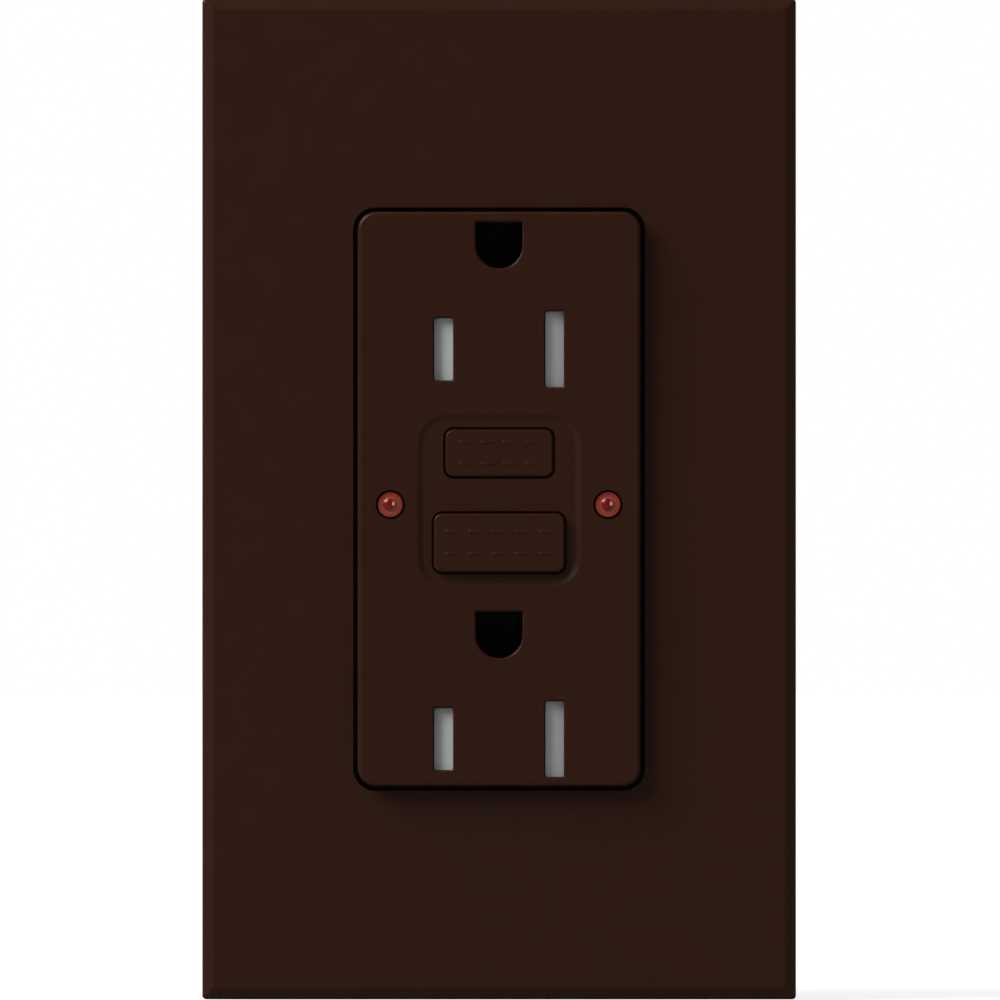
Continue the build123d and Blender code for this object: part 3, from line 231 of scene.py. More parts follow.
def plated(
    name, colour, roughness, stretch=(14.0, 1.0, 1.0), stain=0.78, tint=(1.0, 0.96, 0.86)
):
    """Stamped or turned metal: fine lines, thin patchy plating, small pits and bright edges."""
    paint = Paint(name, colour, roughness, metallic=1.0)
    lines = paint.noise(0.09, 3.0, stretch)
    cloud = paint.noise(5.0, 4.0)
    dull = (*(part * stain * shade for part, shade in zip(colour[:3], tint)), 1.0)
    paint.cover(paint.remap(paint.both(cloud, lines, 0.7), 0.45, 0.7), dull)
    paint.finish(paint.remap(paint.both(lines, cloud), 0.4, 0.65), roughness + 0.14)
    pits = paint.remap(paint.noise(0.5), 0.68, 0.76)
    paint.cover(pits, shaded(dull, 0.6))
    bright = paint.edges(0.18)
    paint.cover(bright, shaded(colour, 1.15))
    paint.finish(bright, roughness * 0.6)
    paint.raise_by(lines, 0.003)
    paint.raise_by(paint.noise(1.6), 0.004)
    return paint


BROWN = srgb(44, 23, 14)
plate_brown = moulded("plate_brown", BROWN, 0.32, specular=0.1, mottle=0.03)
face_brown = moulded("face_brown", BROWN, 0.3, specular=0.1, mottle=0.03)
base_brown = moulded("base_brown", srgb(43, 25, 19), 0.5, specular=0.35, scuffs=0.12)
carrier_black = moulded("carrier_black", srgb(20, 19, 19), 0.5, grain=0.2)
housing_grey = moulded(
    "housing_grey", srgb(40, 40, 42), 0.48, grain=0.22, depth=0.008, mottle=0.08, scuffs=0.3
)
bobbin_black = moulded("bobbin_black", srgb(26, 26, 27), 0.42)
guide_white = moulded("guide_white", srgb(214, 213, 208), 0.45)
shutter_grey = moulded("shutter_grey", srgb(166, 167, 168), 0.5, specular=0.2, grain=0.1)

ALONG_Y = (1.0, 10.0, 1.0)
strap_zinc = plated("strap_zinc", srgb(196, 198, 200), 0.3, stretch=(1.0, 1.0, 16.0))
screw_zinc = plated("screw_zinc", srgb(190, 192, 194), 0.26, stretch=(1.0, 6.0, 1.0))
part_steel = plated("part_steel", srgb(176, 178, 180), 0.34, stretch=(1.0, 1.0, 8.0))
spring_wire = plated("spring_wire", srgb(160, 162, 168), 0.28, stretch=(3.0, 3.0, 3.0), stain=0.9)
brass = plated(
    "brass", srgb(210, 172, 96), 0.26, stretch=ALONG_Y, stain=0.7, tint=(1.0, 0.88, 0.68)
)
nickel = plated("nickel", srgb(206, 202, 192), 0.24, stretch=ALONG_Y, tint=(1.0, 0.97, 0.9))
bronze = plated("bronze", srgb(196, 140, 88), 0.3, stain=0.72, tint=(1.0, 0.86, 0.72))
green_plating = plated("green_plating", srgb(44, 128, 72), 0.3, stretch=(1.0, 6.0, 1.0), stain=0.6)
copper = plated("copper", srgb(196, 120, 76), 0.28, stain=0.75, tint=(1.0, 0.82, 0.7))


def winding_paint():
    """Enamelled wire wound in close turns, with painted shade in the creases between them."""
    paint = Paint("copper_winding", srgb(150, 78, 36), 0.3, metallic=0.85)
    turns = paint.waves("Z", 0.22, wobble=0.6)
    # Painted shade: the creases between the turns are darker.
    paint.cover(paint.remap(turns, 0.45, 0.05), srgb(62, 26, 12))
    paint.cover(paint.remap(paint.noise(1.8, 3.0), 0.5, 0.75), srgb(176, 100, 50))
    paint.set("Coat Weight", 0.5)
    paint.raise_by(turns, 0.06)
    return paint


def board_paint():
    """Solder mask over copper tracks, with bare tinned pads in a loose grid."""
    paint = Paint("board_mask", srgb(24, 92, 52), 0.32)
    cells = {"Vector": paint.place, "Scale": 0.3, "Randomness": 0.35}
    voronoi = "ShaderNodeTexVoronoi"
    far = paint.node(voronoi, cells, distance="MANHATTAN", feature="F2").outputs[0]
    near = paint.node(voronoi, cells, distance="MANHATTAN").outputs[0]
    tracks = paint.remap(paint.calculate("SUBTRACT", far, near), 0.16, 0.13)
    paint.cover(tracks, srgb(38, 118, 62))
    pads = paint.remap(near, 0.17, 0.14)
    paint.cover(pads, srgb(196, 198, 196))
    paint.finish(pads, 0.22)
    paint.link(pads, "Metallic")
    paint.raise_by(tracks, 0.03)
    return paint


def ferrite_paint():
    """Sintered ferrite: grey-black, with a fine open grain and paler edges."""
    paint = Paint("ferrite", srgb(44, 44, 48), 0.55)
    grain = paint.noise(0.25, 4.0)
    paint.cover(paint.remap(grain, 0.5, 0.7), srgb(72, 72, 78))
    paint.cover(paint.edges(0.3), srgb(92, 92, 96))
    paint.raise_by(grain, 0.02)
    return paint


def epoxy_paint():
    """An integrated circuit's black epoxy, with the pale specks of its filler."""
    paint = Paint("chip_epoxy", srgb(24, 24, 26), 0.5)
    grain = paint.noise(0.12, 3.0)
    paint.cover(paint.remap(grain, 0.52, 0.72), srgb(44, 44, 47))
    paint.raise_by(grain, 0.008)
    return paint


def sleeve_paint():
    """A capacitor's shrunk sleeve, with one pale stripe down it and a bare crimped top."""
    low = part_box("capacitors")[0] / MM
    stripe_x, stripe_half, stripe_edge = low.x + 0.7, 0.5, 0.62
    sleeve_top, metal_foot = low.y + 0.42, low.y + 0.36
    paint = Paint("capacitor_sleeve", srgb(26, 32, 70), 0.25)
    aside = paint.calculate("ABSOLUTE", paint.calculate("SUBTRACT", paint.axis("X"), stripe_x))
    paint.cover(paint.remap(aside, stripe_edge, stripe_half), srgb(176, 178, 186))
    bare = paint.remap(paint.axis("Y"), sleeve_top, metal_foot)
    paint.cover(bare, srgb(196, 198, 202))
    paint.link(bare, "Metallic")
    paint.raise_by(paint.noise(1.2), 0.01)
    return paint


def dipped_paint(name, colour):
    """A lacquer dip: glossy, uneven and pinholed."""
    paint = Paint(name, colour, 0.22)
    runs = paint.noise(1.6, 3.0)
    paint.cover(paint.remap(runs, 0.5, 0.72), shaded(colour, 1.5))
    paint.cover(paint.remap(paint.noise(0.3), 0.7, 0.76), shaded(colour, 0.4))
    paint.raise_by(runs, 0.05)
    return paint


def banded_paint():
    """A resistor's tan body with plain colour bands across it."""
    paint = dipped_paint("resistor_bands", srgb(176, 146, 104))
    paint.cover(paint.remap(paint.waves("X", 0.9), 0.86, 0.92), srgb(96, 40, 24))
    return paint


def fibre_paint():
    """Pressed fibre with darker strands and a pale cut edge."""
    paint = Paint("fibre", srgb(188, 178, 152), 0.85, specular=0.2)
    strands = paint.noise(0.3, 4.0, (3.0, 3.0, 1.0))
    paint.cover(paint.remap(strands, 0.45, 0.65), srgb(160, 146, 116))
    paint.cover(paint.edges(0.3), srgb(206, 198, 176))
    paint.raise_by(strands, 0.03)
    return paint


def paint_nodes(paint, *names):
    for name in names:
        data = NODES[name].data
        data.materials.clear()
        data.materials.append(paint.material)


def paint_all_nodes():
    paint_nodes(plate_brown, "wallplate_cover")
    paint_nodes(base_brown, "wallplate_base")
    paint_nodes(face_brown, "face_cover", "test_button", "reset_button")
    paint_nodes(carrier_black, "contact_carrier", "latch_block")
    paint_nodes(housing_grey, "rear_housing")
    paint_nodes(bobbin_black, "solenoid_bobbin", "transformer_housing")
    paint_nodes(strap_zinc, "mounting_strap")
    paint_nodes(part_steel, "solenoid_frame", "plunger", "latch_plate")
    paint_nodes(part_steel, "reset_pin", "ground_rivets")
    paint_nodes(fibre_paint(), "screw_retainers")
    paint_nodes(brass, "hot_bus", "line_hot_terminal")
    paint_nodes(brass, "line_hot_clamp", "load_hot_clamp", "ground_clamp")
    paint_nodes(nickel, "neutral_bus", "line_neutral_terminal")
    paint_nodes(nickel, "line_neutral_clamp", "load_neutral_clamp")
    paint_nodes(bronze, "contact_arms", "test_blade")
    paint_nodes(copper, "primary_conductors")
    paint_nodes(winding_paint(), "solenoid_coil")
    paint_nodes(board_paint(), "circuit_board")
    paint_nodes(ferrite_paint(), "transformer_cores")
    paint_nodes(epoxy_paint(), "control_chip", "thyristor")
    paint_nodes(sleeve_paint(), "capacitors")
    paint_nodes(dipped_paint("varistor_blue", srgb(30, 66, 138)), "varistor")
    paint_nodes(dipped_paint("lamp_red", srgb(150, 20, 12)), "indicator_leds")
    paint_nodes(banded_paint(), "resistors", "test_resistor")
    for outlet in OUTLETS:
        paint_nodes(guide_white, f"shutter_guide_{outlet}")
        paint_nodes(brass, f"ground_contact_{outlet}")
        for pole in POLES:
            paint_nodes(shutter_grey, f"shutter_{outlet}_{pole}")


# ---------------------------------------------------------------- meshes


SHARP = 35  # a mesh is smooth across edges that turn by less than this, in degrees


def angles_round(count):
    """That many angles round a circle, in radians."""
    return [math.tau * index / count for index in range(count)]


def polar(radius, angle, height):
    return (radius * math.cos(angle), radius * math.sin(angle), height)


def skin(bm, rings):
    """Joins rings of points one after another and closes both ends. A single point is a tip."""
    rows = [[bm.verts.new(point) for point in points] for points in rings]
    for low, high in zip(rows, rows[1:]):
        count = max(len(low), len(high))
        for index in range(count):
            after = (index + 1) % count
            corners = [low[index % len(low)], low[after % len(low)]]
            corners += [high[after % len(high)], high[index % len(high)]]
            bm.faces.new(list(dict.fromkeys(corners)))
    for row in (rows[0][::-1], rows[-1]):
        if len(row) > 2:
            bm.faces.new(row)


def turned(bm, profile, count=48):
    """A solid turned about z, from (radius, height) points that start and end on the axis."""
    rings = []
    for radius, height in profile:
        angles = angles_round(count) if radius else [0.0]
        rings.append([polar(radius, angle, height) for angle in angles])
    skin(bm, rings)


def turned_ring(bm, outline, count=48):
    """A ring turned about z, from (radius, height) points round its section."""
    columns = []
    for angle in angles_round(count):
        columns.append([bm.verts.new(polar(radius, angle, height)) for radius, height in outline])
    for here, there in zip(columns, columns[1:] + columns[:1]):
        for index in range(len(outline)):
            bm.faces.new((here[index - 1], there[index - 1], there[index], here[index]))


def helix(bm, section, turns, height, per_turn=28):
    """Sweeps a section round z. section and height are functions of the turns so far."""
    rings = []
    for step in range(round(turns * per_turn) + 1):
        reached = step / per_turn
        angle = math.tau * reached
        base = height(reached)
        rings.append([polar(radius, angle, base + above) for radius, above in section(reached)])
    skin(bm, rings)


def arc(centre, radius, start, end, count):
    """Points of an arc, with its angles in degrees."""
    angles = [math.radians(start + (end - start) * index / count) for index in range(count + 1)]
    return [(centre[0] + radius * math.cos(a), centre[1] + radius * math.sin(a)) for a in angles]


def to_mesh(bm, name, sharp=SHARP):
    """A mesh in metres from one in millimetres, smooth except across sharp edges."""
    bmesh.ops.recalc_face_normals(bm, faces=bm.faces)
    bmesh.ops.scale(bm, vec=(MM, MM, MM), verts=bm.verts)
    mesh = bpy.data.meshes.new(name)
    bm.to_mesh(mesh)
    bm.free()
    mesh.shade_smooth()
    mesh.set_sharp_from_angle(angle=math.radians(sharp))
    return mesh


def facing(direction, place, spin=0.0):
    """Turns local z towards a direction and moves the local origin to a place, in metres."""
    turned_to = direction.to_track_quat("Z", "Y").to_matrix().to_4x4()
    return Matrix.Translation(place) @ turned_to @ Matrix.Rotation(math.radians(spin), 4, "Z")


def piece(name, mesh, paint, body, slot, *nodes):
    """A new piece, in place of its CAD nodes where it has any."""
    made = bpy.data.objects.new(name, mesh)
    bpy.context.scene.collection.objects.link(made)
    mesh.materials.append(paint.material)
    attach(made, body)
    if nodes:
        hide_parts(*nodes)
    return made


def cut(mesh, tool):
    """The first mesh with the second taken away."""
    objects = [bpy.data.objects.new("cutting", data) for data in (mesh, tool)]
    for made in objects:
        bpy.context.scene.collection.objects.link(made)
    boolean = objects[0].modifiers.new("cut", "BOOLEAN")
    boolean.operation = "DIFFERENCE"
    boolean.solver = "EXACT"
    boolean.object = objects[1]
    graph = bpy.context.evaluated_depsgraph_get()
    result = bpy.data.meshes.new_from_object(objects[0].evaluated_get(graph))
    for made in objects:
        bpy.data.objects.remove(made)
    return result


# ---------------------------------------------------------------- screws

# A head's recess is a straight slot and a cross, which reaches cross_r from the middle.
Drive = namedtuple("Drive", "slot_w slot_deep cross_r cross_deep")
Screw = namedtuple("Screw", "head_r head_t shank_r drive")

SMALL_DRIVE = Drive(slot_w=0.8, slot_deep=0.8, cross_r=1.7, cross_deep=1.4)
BOX_DRIVE = Drive(slot_w=0.9, slot_deep=1.0, cross_r=2.0, cross_deep=1.6)
TERMINAL_DRIVE = Drive(slot_w=1.0, slot_deep=0.9, cross_r=2.0, cross_deep=1.5)
BOX_SCREW = Screw(head_r=3.4, head_t=2.0, shank_r=1.7, drive=BOX_DRIVE)
PLATE_SCREW = Screw(head_r=2.7, head_t=1.6, shank_r=1.7, drive=SMALL_DRIVE)
ASSEMBLY_SCREW = Screw(head_r=2.7, head_t=1.5, shank_r=1.42, drive=SMALL_DRIVE)
TERMINAL_HEAD_T = 2.0
TERMINAL_SHANK_R = 2.05

THREAD_PITCH = 0.794
THREAD_DEPTH = 0.45
THREAD_FOOT, THREAD_CREST = THREAD_PITCH * 0.44, THREAD_PITCH * 0.08  # half their widths
THREAD_SUNK = 0.05  # how deep the thread's foot lies in the core
THREAD_INSET = 0.3  # from each end of the thread to the screw's end or its head
TOOL_SPARE = 1.0  # how far a cutting tool stands past the head

# How far a node's first screw, each next one and a terminal's are turned, in degrees.
FIRST_SPIN, NEXT_SPIN, TERMINAL_SPIN = 20, 55, 12


def driver_tools(size):
    """The slot and the two tapered arms of the cross that a head's recess is cut with."""

    def tool(levels):
        bm = bmesh.new()
        skin(bm, [[(-x, -y, z), (x, -y, z), (x, y, z), (-x, y, z)] for x, y, z in levels])
        return bm

    top, drive = size.head_t, size.drive
    slot_end, slot_side = size.head_r + TOOL_SPARE, drive.slot_w * 0.5
    floor_side, floor_bevel = drive.slot_w * 0.06, drive.slot_deep * 0.45
    slot = [
        (slot_end, floor_side, top - drive.slot_deep),
        (slot_end, slot_side, top - floor_bevel),
        (slot_end, slot_side, top + TOOL_SPARE),
    ]
    arm_side, arm_bevel = drive.cross_r * 0.22, 0.1
    tip_r, tip_side = drive.cross_r * 0.3, arm_side * 0.5
    arm = [
        (tip_r, tip_side, top - drive.cross_deep),
        (drive.cross_r, arm_side, top - arm_bevel),
        (drive.cross_r, arm_side, top + TOOL_SPARE),
    ]
    return [tool(slot), tool(arm), tool([(y, x, z) for x, y, z in arm])]


def screw_blank(size, length):
    """A screw before its recess is cut and its thread is added."""
    core = size.shank_r - THREAD_DEPTH
    point_r, point_t = core * 0.62, 0.5
    neck_r, neck_top, neck_foot = size.shank_r * 0.98, -0.05, -0.4
    bevel, rim = 0.12, size.head_t * 0.3
    point = [(0, -length), (point_r, -length), (core, -length + point_t)]
    neck = [(core, neck_foot), (neck_r, neck_top)]
    edge = [(size.head_r - bevel, 0.0), (size.head_r, bevel), (size.head_r, rim)]
    dome = []
    for angle in (0.35, 0.7, 1.05, 1.35):
        height = rim + (size.head_t - rim) * math.sin(angle)
        dome.append((size.head_r * math.cos(angle), height))
    bm = bmesh.new()
    turned(bm, point + neck + edge + dome + [(0, size.head_t)])
    return bm


def screw_thread(size, length):
    """A thread that grows out of the core in its first half turn and sinks back in its last."""
    core = size.shank_r - THREAD_DEPTH
    foot, least = core - THREAD_SUNK, 0.02
    turns = (length - 2 * THREAD_INSET) / THREAD_PITCH

    def section(reached):
        grown = min(1.0, reached * 2, (turns - reached) * 2)
        top = core + (size.shank_r - core) * max(grown, least)
        lower = [(foot, -THREAD_FOOT), (top, -THREAD_CREST)]
        return lower + [(top, THREAD_CREST), (foot, THREAD_FOOT)]

    bm = bmesh.new()
    helix(bm, section, turns, lambda reached: -length + THREAD_INSET + THREAD_PITCH * reached)
    return bm


def screw_mesh(name, size, length):
    """A screw with its head's underside at z = 0, its drive towards +z, its end at z = -length."""
    result = to_mesh(screw_blank(size, length), name)
    for tool in driver_tools(size):
        result = cut(result, to_mesh(tool, f"{name}_tool"))
    thread = to_mesh(screw_thread(size, length), f"{name}_thread")
    whole = bmesh.new()
    whole.from_mesh(result)
    whole.from_mesh(thread)
    whole.to_mesh(result)
    whole.free()
    result.name = name
    result.set_sharp_from_angle(angle=math.radians(SHARP))
    return result


def screws_along_y(node, paint, slot, head, size):
    """The screws of one node that lie along y, with their heads towards that direction."""
    low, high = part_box(node)
    tip_end, head_end = (high.y, low.y) if head == FRONT else (low.y, high.y)
    seat = head_end - head.y * size.head_t * MM
    master = screw_mesh(node, size, abs(tip_end - seat) / MM)
    inset = size.head_r * MM
    columns = {"": (low.x + high.x) / 2}
    if high.x - low.x > 3 * inset:
        columns = {"_left": low.x + inset, "_right": high.x - inset}
    rows = {"_lower": low.z + inset, "_upper": high.z - inset}
    spin = FIRST_SPIN
    for side, x in columns.items():
        for level, z in rows.items():
            mesh = master.copy()
            mesh.transform(facing(head, Vector((x, seat, z)), spin))
            piece(f"{node}{side}{level}", mesh, paint, "root", slot, node)
            spin += NEXT_SPIN


def terminal_screw(name, paint, slot):
    """A terminal's binding screw, which turns in its clamp."""
    node = f"{name}_screw"
    low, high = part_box(node)
    middle = (low + high) / 2
    head_r = (high.z - low.z) / 2 / MM
    size = Screw(head_r, TERMINAL_HEAD_T, TERMINAL_SHANK_R, TERMINAL_DRIVE)
    outward = Vector((1 if low.x + high.x > 0 else -1, 0, 0))
    outer = high.x if outward.x > 0 else low.x
    seat = Vector((outer - outward.x * size.head_t * MM, middle.y, middle.z))
    mesh = screw_mesh(node, size, (high.x - low.x) / MM - size.head_t)
    mesh.transform(facing(outward, seat, TERMINAL_SPIN))
    piece(f"{node}_threaded", mesh, paint, f"{node}_body", slot, node)


def make_screws():
    screws_along_y("box_screws", screw_zinc, "zinc_steel", FRONT, BOX_SCREW)
    screws_along_y("wallplate_screws", screw_zinc, "zinc_steel", FRONT, PLATE_SCREW)
    screws_along_y("assembly_screws", screw_zinc, "zinc_steel", BACK, ASSEMBLY_SCREW)
    for end in ("line", "load"):
        terminal_screw(f"{end}_hot", brass, "brass")
        terminal_screw(f"{end}_neutral", nickel, "tinned_brass")
    terminal_screw("ground", green_plating, "green_screw")


# ---------------------------------------------------------------- springs


def spring_mesh(name, length, radius, wire_r, turns, closed_ends=1.0):
    """A round-wire spring up z from z = 0, with that many turns lying close at each end."""
    close = 2 * wire_r
    free = (length - close * (1 + 2 * closed_ends)) / (turns - 2 * closed_ends)

    def height(reached):
        below = min(reached, closed_ends)
        above = max(0.0, reached - (turns - closed_ends))
        return wire_r + close * (below + above) + free * (reached - below - above)

    section = [(radius + wire_r * math.cos(a), wire_r * math.sin(a)) for a in angles_round(10)]
    bm = bmesh.new()
    helix(bm, lambda reached: section, turns, height, per_turn=24)
    return to_mesh(bm, name, sharp=60)


def spring_piece(name, node, mesh, direction, foot):
    """A spring that stands on its foot and points in a direction."""
    mesh.transform(facing(direction, foot))
    return piece(name, mesh, spring_wire, "root", "spring_steel", node)


def make_reset_spring():
    low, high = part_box("reset_spring")
    foot = Vector(((low.x + high.x) / 2, high.y, (low.z + high.z) / 2))
    length = (high.y - low.y) / MM
    mesh = spring_mesh("reset_spring", length, radius=2.35, wire_r=0.24, turns=9)
    spring = spring_piece("reset_spring_wire", "reset_spring", mesh, FRONT, foot)
    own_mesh(spring)


def make_plunger_spring():
    low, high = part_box("plunger_spring")
    foot = Vector(((low.x + high.x) / 2, (low.y + high.y) / 2, high.z))
    length = (high.z - low.z) / MM
    mesh = spring_mesh("plunger_spring", length, radius=2.5, wire_r=0.15, turns=4)
    spring = spring_piece("plunger_spring_wire", "plunger_spring", mesh, -UP, foot)
    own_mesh(spring)


def make_shutter_springs(outlet):
    """Two springs between an outlet's shutters, one for each shutter."""
    node = f"shutter_spring_{outlet}"
    low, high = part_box(node)
    middle = (low + high) / 2
    length = (high.x - low.x) / 2 / MM
    for pole, side in POLES.items():
        name = f"{node}_{pole}"
        outward = Vector((side, 0, 0))
        mesh = spring_mesh(name, length, radius=0.9, wire_r=0.17, turns=4.5, closed_ends=0.5)
        spring = spring_piece(name, node, mesh, outward, middle)
        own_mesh(spring)


def make_springs():
    make_reset_spring()
    make_plunger_spring()
    for outlet in OUTLETS:
        make_shutter_springs(outlet)


# ---------------------------------------------------------------- buttons

BAR_LENGTH, BAR_WIDTH = 1.7, 0.42
BAR_CROWN = 0.1  # from the bar's middle plane to its crown
BAR_SINK = 0.04  # how far the middle plane lies in the button
BAR_RINGS = (-1.0, -0.96, -0.85, -0.6, -0.2, 0.2, 0.6, 0.85, 0.96, 1.0)  # in half lengths


def raised_bar(bm, x, z, front):
    """A bar with round ends and a crowned top, lying along x."""
    straight = (BAR_LENGTH - BAR_WIDTH) / 2
    half_width, least = BAR_WIDTH / 2, 0.05
    rings = []
    for share in BAR_RINGS:
        past = max(0.0, abs(share) * BAR_LENGTH / 2 - straight) / half_width
        swell = max(least, math.sqrt(max(0.0, 1 - past * past)))
        at = x + share * BAR_LENGTH / 2
        points = []
        for angle in angles_round(16):
            y = front - BAR_CROWN * swell * math.sin(angle)
            points.append((at, y, z + half_width * swell * math.cos(angle)))
        rings.append(points)
    skin(bm, rings)


def button_marks(node, body, count, pitch, row_gap):
    """Two rows of plain raised bars on a button."""
    low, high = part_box(node)
    front, middle = low.y / MM, (low.z + high.z) / 2 / MM
    bm = bmesh.new()
    for row in (-0.5, 0.5):
        for index in range(count):
            x = (index - (count - 1) / 2) * pitch
            raised_bar(bm, x, middle + row * row_gap, front + BAR_SINK)
    mesh = to_mesh(bm, f"{body}_marks", sharp=60)
    piece(f"{body}_marks", mesh, face_brown, body, "button_plastic")


# ---------------------------------------------------------------- lenses

# Heights are outward from the face's front, so what lies behind it is below 0.
ROOF_UNDER = -1.4  # the underside of the face's roof, which the collar lies against
LENS_R, LENS_FLAT, LENS_EDGE = 1.43, -0.24, 0.07
DOME_R, DOME_FOOT = 1.3, 0.84  # the radius of the dome's sphere, and of its foot on the lens
PIPE_R, COLLAR_T = 1.0, 0.8
# The skirt is painted shade: a dark sleeve in the gap between the lens and the face's hole.
SKIRT_R, SKIRT_TOP = 1.64, -0.5


def lens_paint(name, across, up):
    """A red light pipe: a clear rim, a frosted ring, and a dark cup with a small warm painted
    highlight.
    """
    paint = Paint(name, srgb(127, 44, 28), 0.4, specular=0.0)

    def vector(operation, *sources):
        made = paint.node("ShaderNodeVectorMath", dict(enumerate(sources)), operation=operation)
        return made.outputs["Value" if operation == "LENGTH" else 0]

    offset = vector("SUBTRACT", paint.place, (across, 0.0, up))

    def distance(x, z, shape=(1.0, 0.0, 1.0)):
        """How far the surface is from a point of the lens's front, seen straight on."""
        moved = vector("SUBTRACT", offset, (x, 0.0, z))
        return vector("LENGTH", vector("MULTIPLY", moved, shape))

    frost = paint.noise(0.12, 3.0)
    ragged = paint.product(paint.calculate("SUBTRACT", paint.noise(0.5), 0.5), 0.35)
    frosted = paint.remap(paint.calculate("ADD", distance(0.0, 0.0), ragged), 1.12, 0.95)
    paint.cover(frosted, srgb(124, 57, 47))
    paint.cover(paint.product(frosted, paint.remap(frost, 0.5, 0.7)), srgb(134, 62, 54))
    cup = paint.remap(paint.calculate("ADD", distance(-0.15, 0.03), ragged), 0.72, 0.62)
    paint.cover(cup, srgb(100, 5, 0))
    # A small warm painted highlight right of the middle, standing in for light seen through the
    # dome.
    painted_highlight = paint.remap(distance(0.36, 0.1, (1.35, 0.0, 0.8)), 0.24, 0.12)
    paint.cover(painted_highlight, srgb(208, 160, 124))
    paint.set("Coat Weight", 0.55)
    paint.set("Coat Roughness", 0.2)
    paint.raise_by(frost, 0.003)
    return paint


def lens_mesh(depth):
    """A light pipe of that depth up z, with a low dome on its flat lens."""
    slope = math.asin(DOME_FOOT / DOME_R)
    sphere = (0, LENS_FLAT - DOME_R * math.cos(slope))
    dome = arc(sphere, DOME_R, 90 - math.degrees(slope), 87, 10)
    rim = (LENS_R - LENS_EDGE, LENS_FLAT - LENS_EDGE)
    profile = [(0, -depth), (PIPE_R, -depth), (PIPE_R, ROOF_UNDER), (LENS_R, ROOF_UNDER)]
    profile += arc(rim, LENS_EDGE, 0, 90, 4) + [(DOME_FOOT + 0.05, LENS_FLAT)]
    profile += dome + [(0, dome[-1][1] + 0.001)]
    bm = bmesh.new()
    turned(bm, profile, 64)
    return to_mesh(bm, "lens", sharp=40)


def skirt_mesh(collar_r):
    """A black ring round a light pipe: a collar under the roof, and a skirt round the lens that
    paints the shade in the gap round it.
    """
    foot, inner_top, inner_foot = ROOF_UNDER - COLLAR_T, SKIRT_TOP - 0.05, ROOF_UNDER - 0.01
    outline = [(PIPE_R, foot), (collar_r, foot), (collar_r, ROOF_UNDER), (SKIRT_R, ROOF_UNDER)]
    outline += [(SKIRT_R, SKIRT_TOP), (LENS_R, inner_top), (LENS_R, inner_foot)]
    bm = bmesh.new()
    turned_ring(bm, outline)
    return to_mesh(bm, "lens_shade_skirt")


def make_lenses():
    low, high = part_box("lenses")
    face_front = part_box("face_cover")[0].y
    collar_r = (high.z - low.z) / 2 / MM
    across = high.x / MM - collar_r
    up = (low.z + high.z) / 2 / MM
    lens = lens_mesh((high.y - face_front) / MM)
    skirt = skirt_mesh(collar_r)
    # A brown-black that paints the shade in the gap round each lens.
    black = moulded("skirt_painted_shade", srgb(30, 13, 10), 0.8, specular=0.1)
    for side, sign in (("left", -1), ("right", 1)):
        stand = facing(FRONT, Vector((sign * across * MM, face_front, up * MM)))
        paint = lens_paint(f"lens_red_{side}", sign * across, up)
        for name, mesh, material in (("lens", lens, paint), ("lens_shade_skirt", skirt, black)):
            copy = mesh.copy()
            copy.transform(stand)
            piece(f"{name}_{side}", copy, material, "root", "lens_red", "lenses")


# ---------------------------------------------------------------- studio


def make_world(light=0.57, gloss_front=0.1, gloss_behind=0.9):
    """Plain light from all round. Gloss sees the dim studio in front and the white one behind."""
    world = bpy.data.worlds.new("studio")
    bpy.context.scene.world = world
    world.use_nodes = True
    tree = world.node_tree
    tree.nodes.clear()

    def add(kind, *sources, operation=None):
        made = tree.nodes.new(kind)
        if operation:
            made.operation = operation
        for index, source in enumerate(sources):
            if isinstance(source, bpy.types.NodeSocket):
                tree.links.new(source, made.inputs[index])
            else:
                made.inputs[index].default_value = source
        return made

    def calculate(operation, first, second):
        return add("ShaderNodeMath", first, second, operation=operation).outputs[0]

    front_ends, behind_starts = -0.15, 0.6  # as the y of a direction of length 1
    path = add("ShaderNodeLightPath").outputs
    y = add("ShaderNodeSeparateXYZ", add("ShaderNodeTexCoord").outputs["Generated"]).outputs[1]
    ends = (front_ends, behind_starts, gloss_front, gloss_behind)
    in_gloss = add("ShaderNodeMapRange", y, *ends).outputs[0]
    change = calculate("MULTIPLY", calculate("SUBTRACT", in_gloss, light), path["Is Glossy Ray"])
    seen = calculate("MAXIMUM", calculate("ADD", change, light), path["Is Camera Ray"])
    background = add("ShaderNodeBackground", WHITE, seen)
    add("ShaderNodeOutputWorld", background.outputs[0])


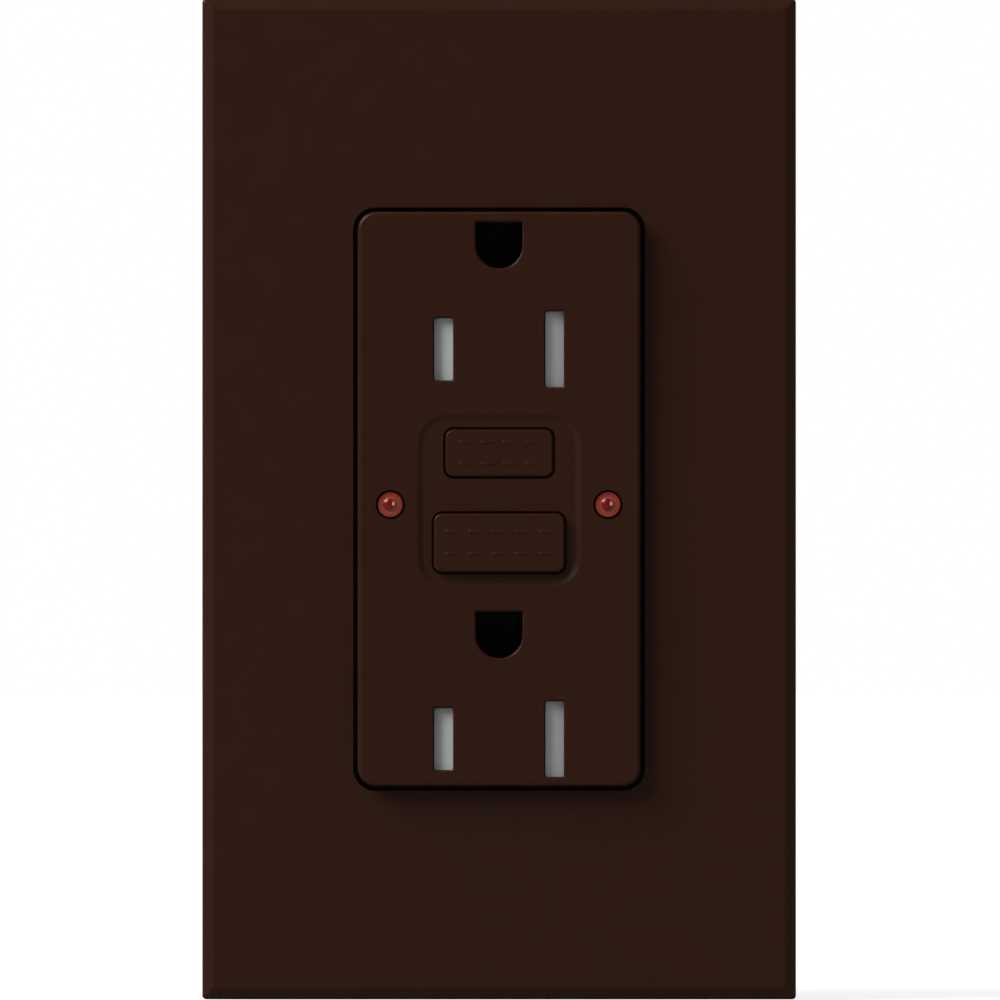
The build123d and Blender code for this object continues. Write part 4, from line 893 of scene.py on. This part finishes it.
def make_floor(size=8.0, gap=0.0002):
    """A pale floor just under the object, which keeps its shadow.

    The camera also sees it glow, less near the object, where the lamp adds to it, than far off.
    """
    near, far = 250.0, 900.0  # from the middle, in millimetres
    near_glow, far_glow = 0.76, 1.0
    bpy.ops.mesh.primitive_plane_add(size=size, location=(0, 0, CAD_BOX[0].z - gap))
    floor = bpy.context.object
    floor.name = "floor"
    paint = Paint("floor_pale", srgb(150, 150, 150), 0.9, specular=0.0)
    path = paint.node("ShaderNodeLightPath")
    paint.set("Emission Color", WHITE)
    length = paint.node("ShaderNodeVectorMath", {0: paint.place}, operation="LENGTH")
    glow = paint.remap(length.outputs["Value"], near, far, near_glow, far_glow)
    paint.link(paint.product(path.outputs["Is Camera Ray"], glow), "Emission Strength")
    floor.data.materials.append(paint.material)


def make_camera(
    distance=2.5, plate_front=-7.0 * MM, frame_height=114.5 * MM, aim=(0.1 * MM, -0.11 * MM)
):
    """A long lens square to the plate, with the plate filling the frame's height."""
    data = bpy.data.cameras.new("camera")
    data.lens = data.sensor_width * distance / frame_height
    data.clip_start, data.clip_end = 0.1, 50.0
    camera = bpy.data.objects.new("camera", data)
    bpy.context.scene.collection.objects.link(camera)
    camera.location = (aim[0], plate_front - distance, aim[1])
    camera.rotation_euler = (math.pi / 2, 0.0, 0.0)
    bpy.context.scene.camera = camera


def make_key_light(place=(-0.90, -0.50, 0.85), size=0.8, watts=27.5):
    """One soft square lamp, high at the front left, aimed at the origin."""
    data = bpy.data.lights.new("key", "AREA")
    data.shape = "SQUARE"
    data.size = size
    data.energy = watts
    lamp = bpy.data.objects.new("key", data)
    bpy.context.scene.collection.objects.link(lamp)
    lamp.location = place
    lamp.rotation_euler = (-Vector(place)).to_track_quat("-Z", "Y").to_euler()
    lamp.visible_camera = False


paint_all_nodes()
make_screws()
make_springs()
button_marks("test_button", body="test", count=4, pitch=2.5, row_gap=2.45)
button_marks("reset_button", body="reset", count=5, pitch=2.7, row_gap=2.55)
make_lenses()

make_world()
make_floor()
make_camera()
make_key_light()
bpy.context.scene.view_settings.view_transform = "Standard"
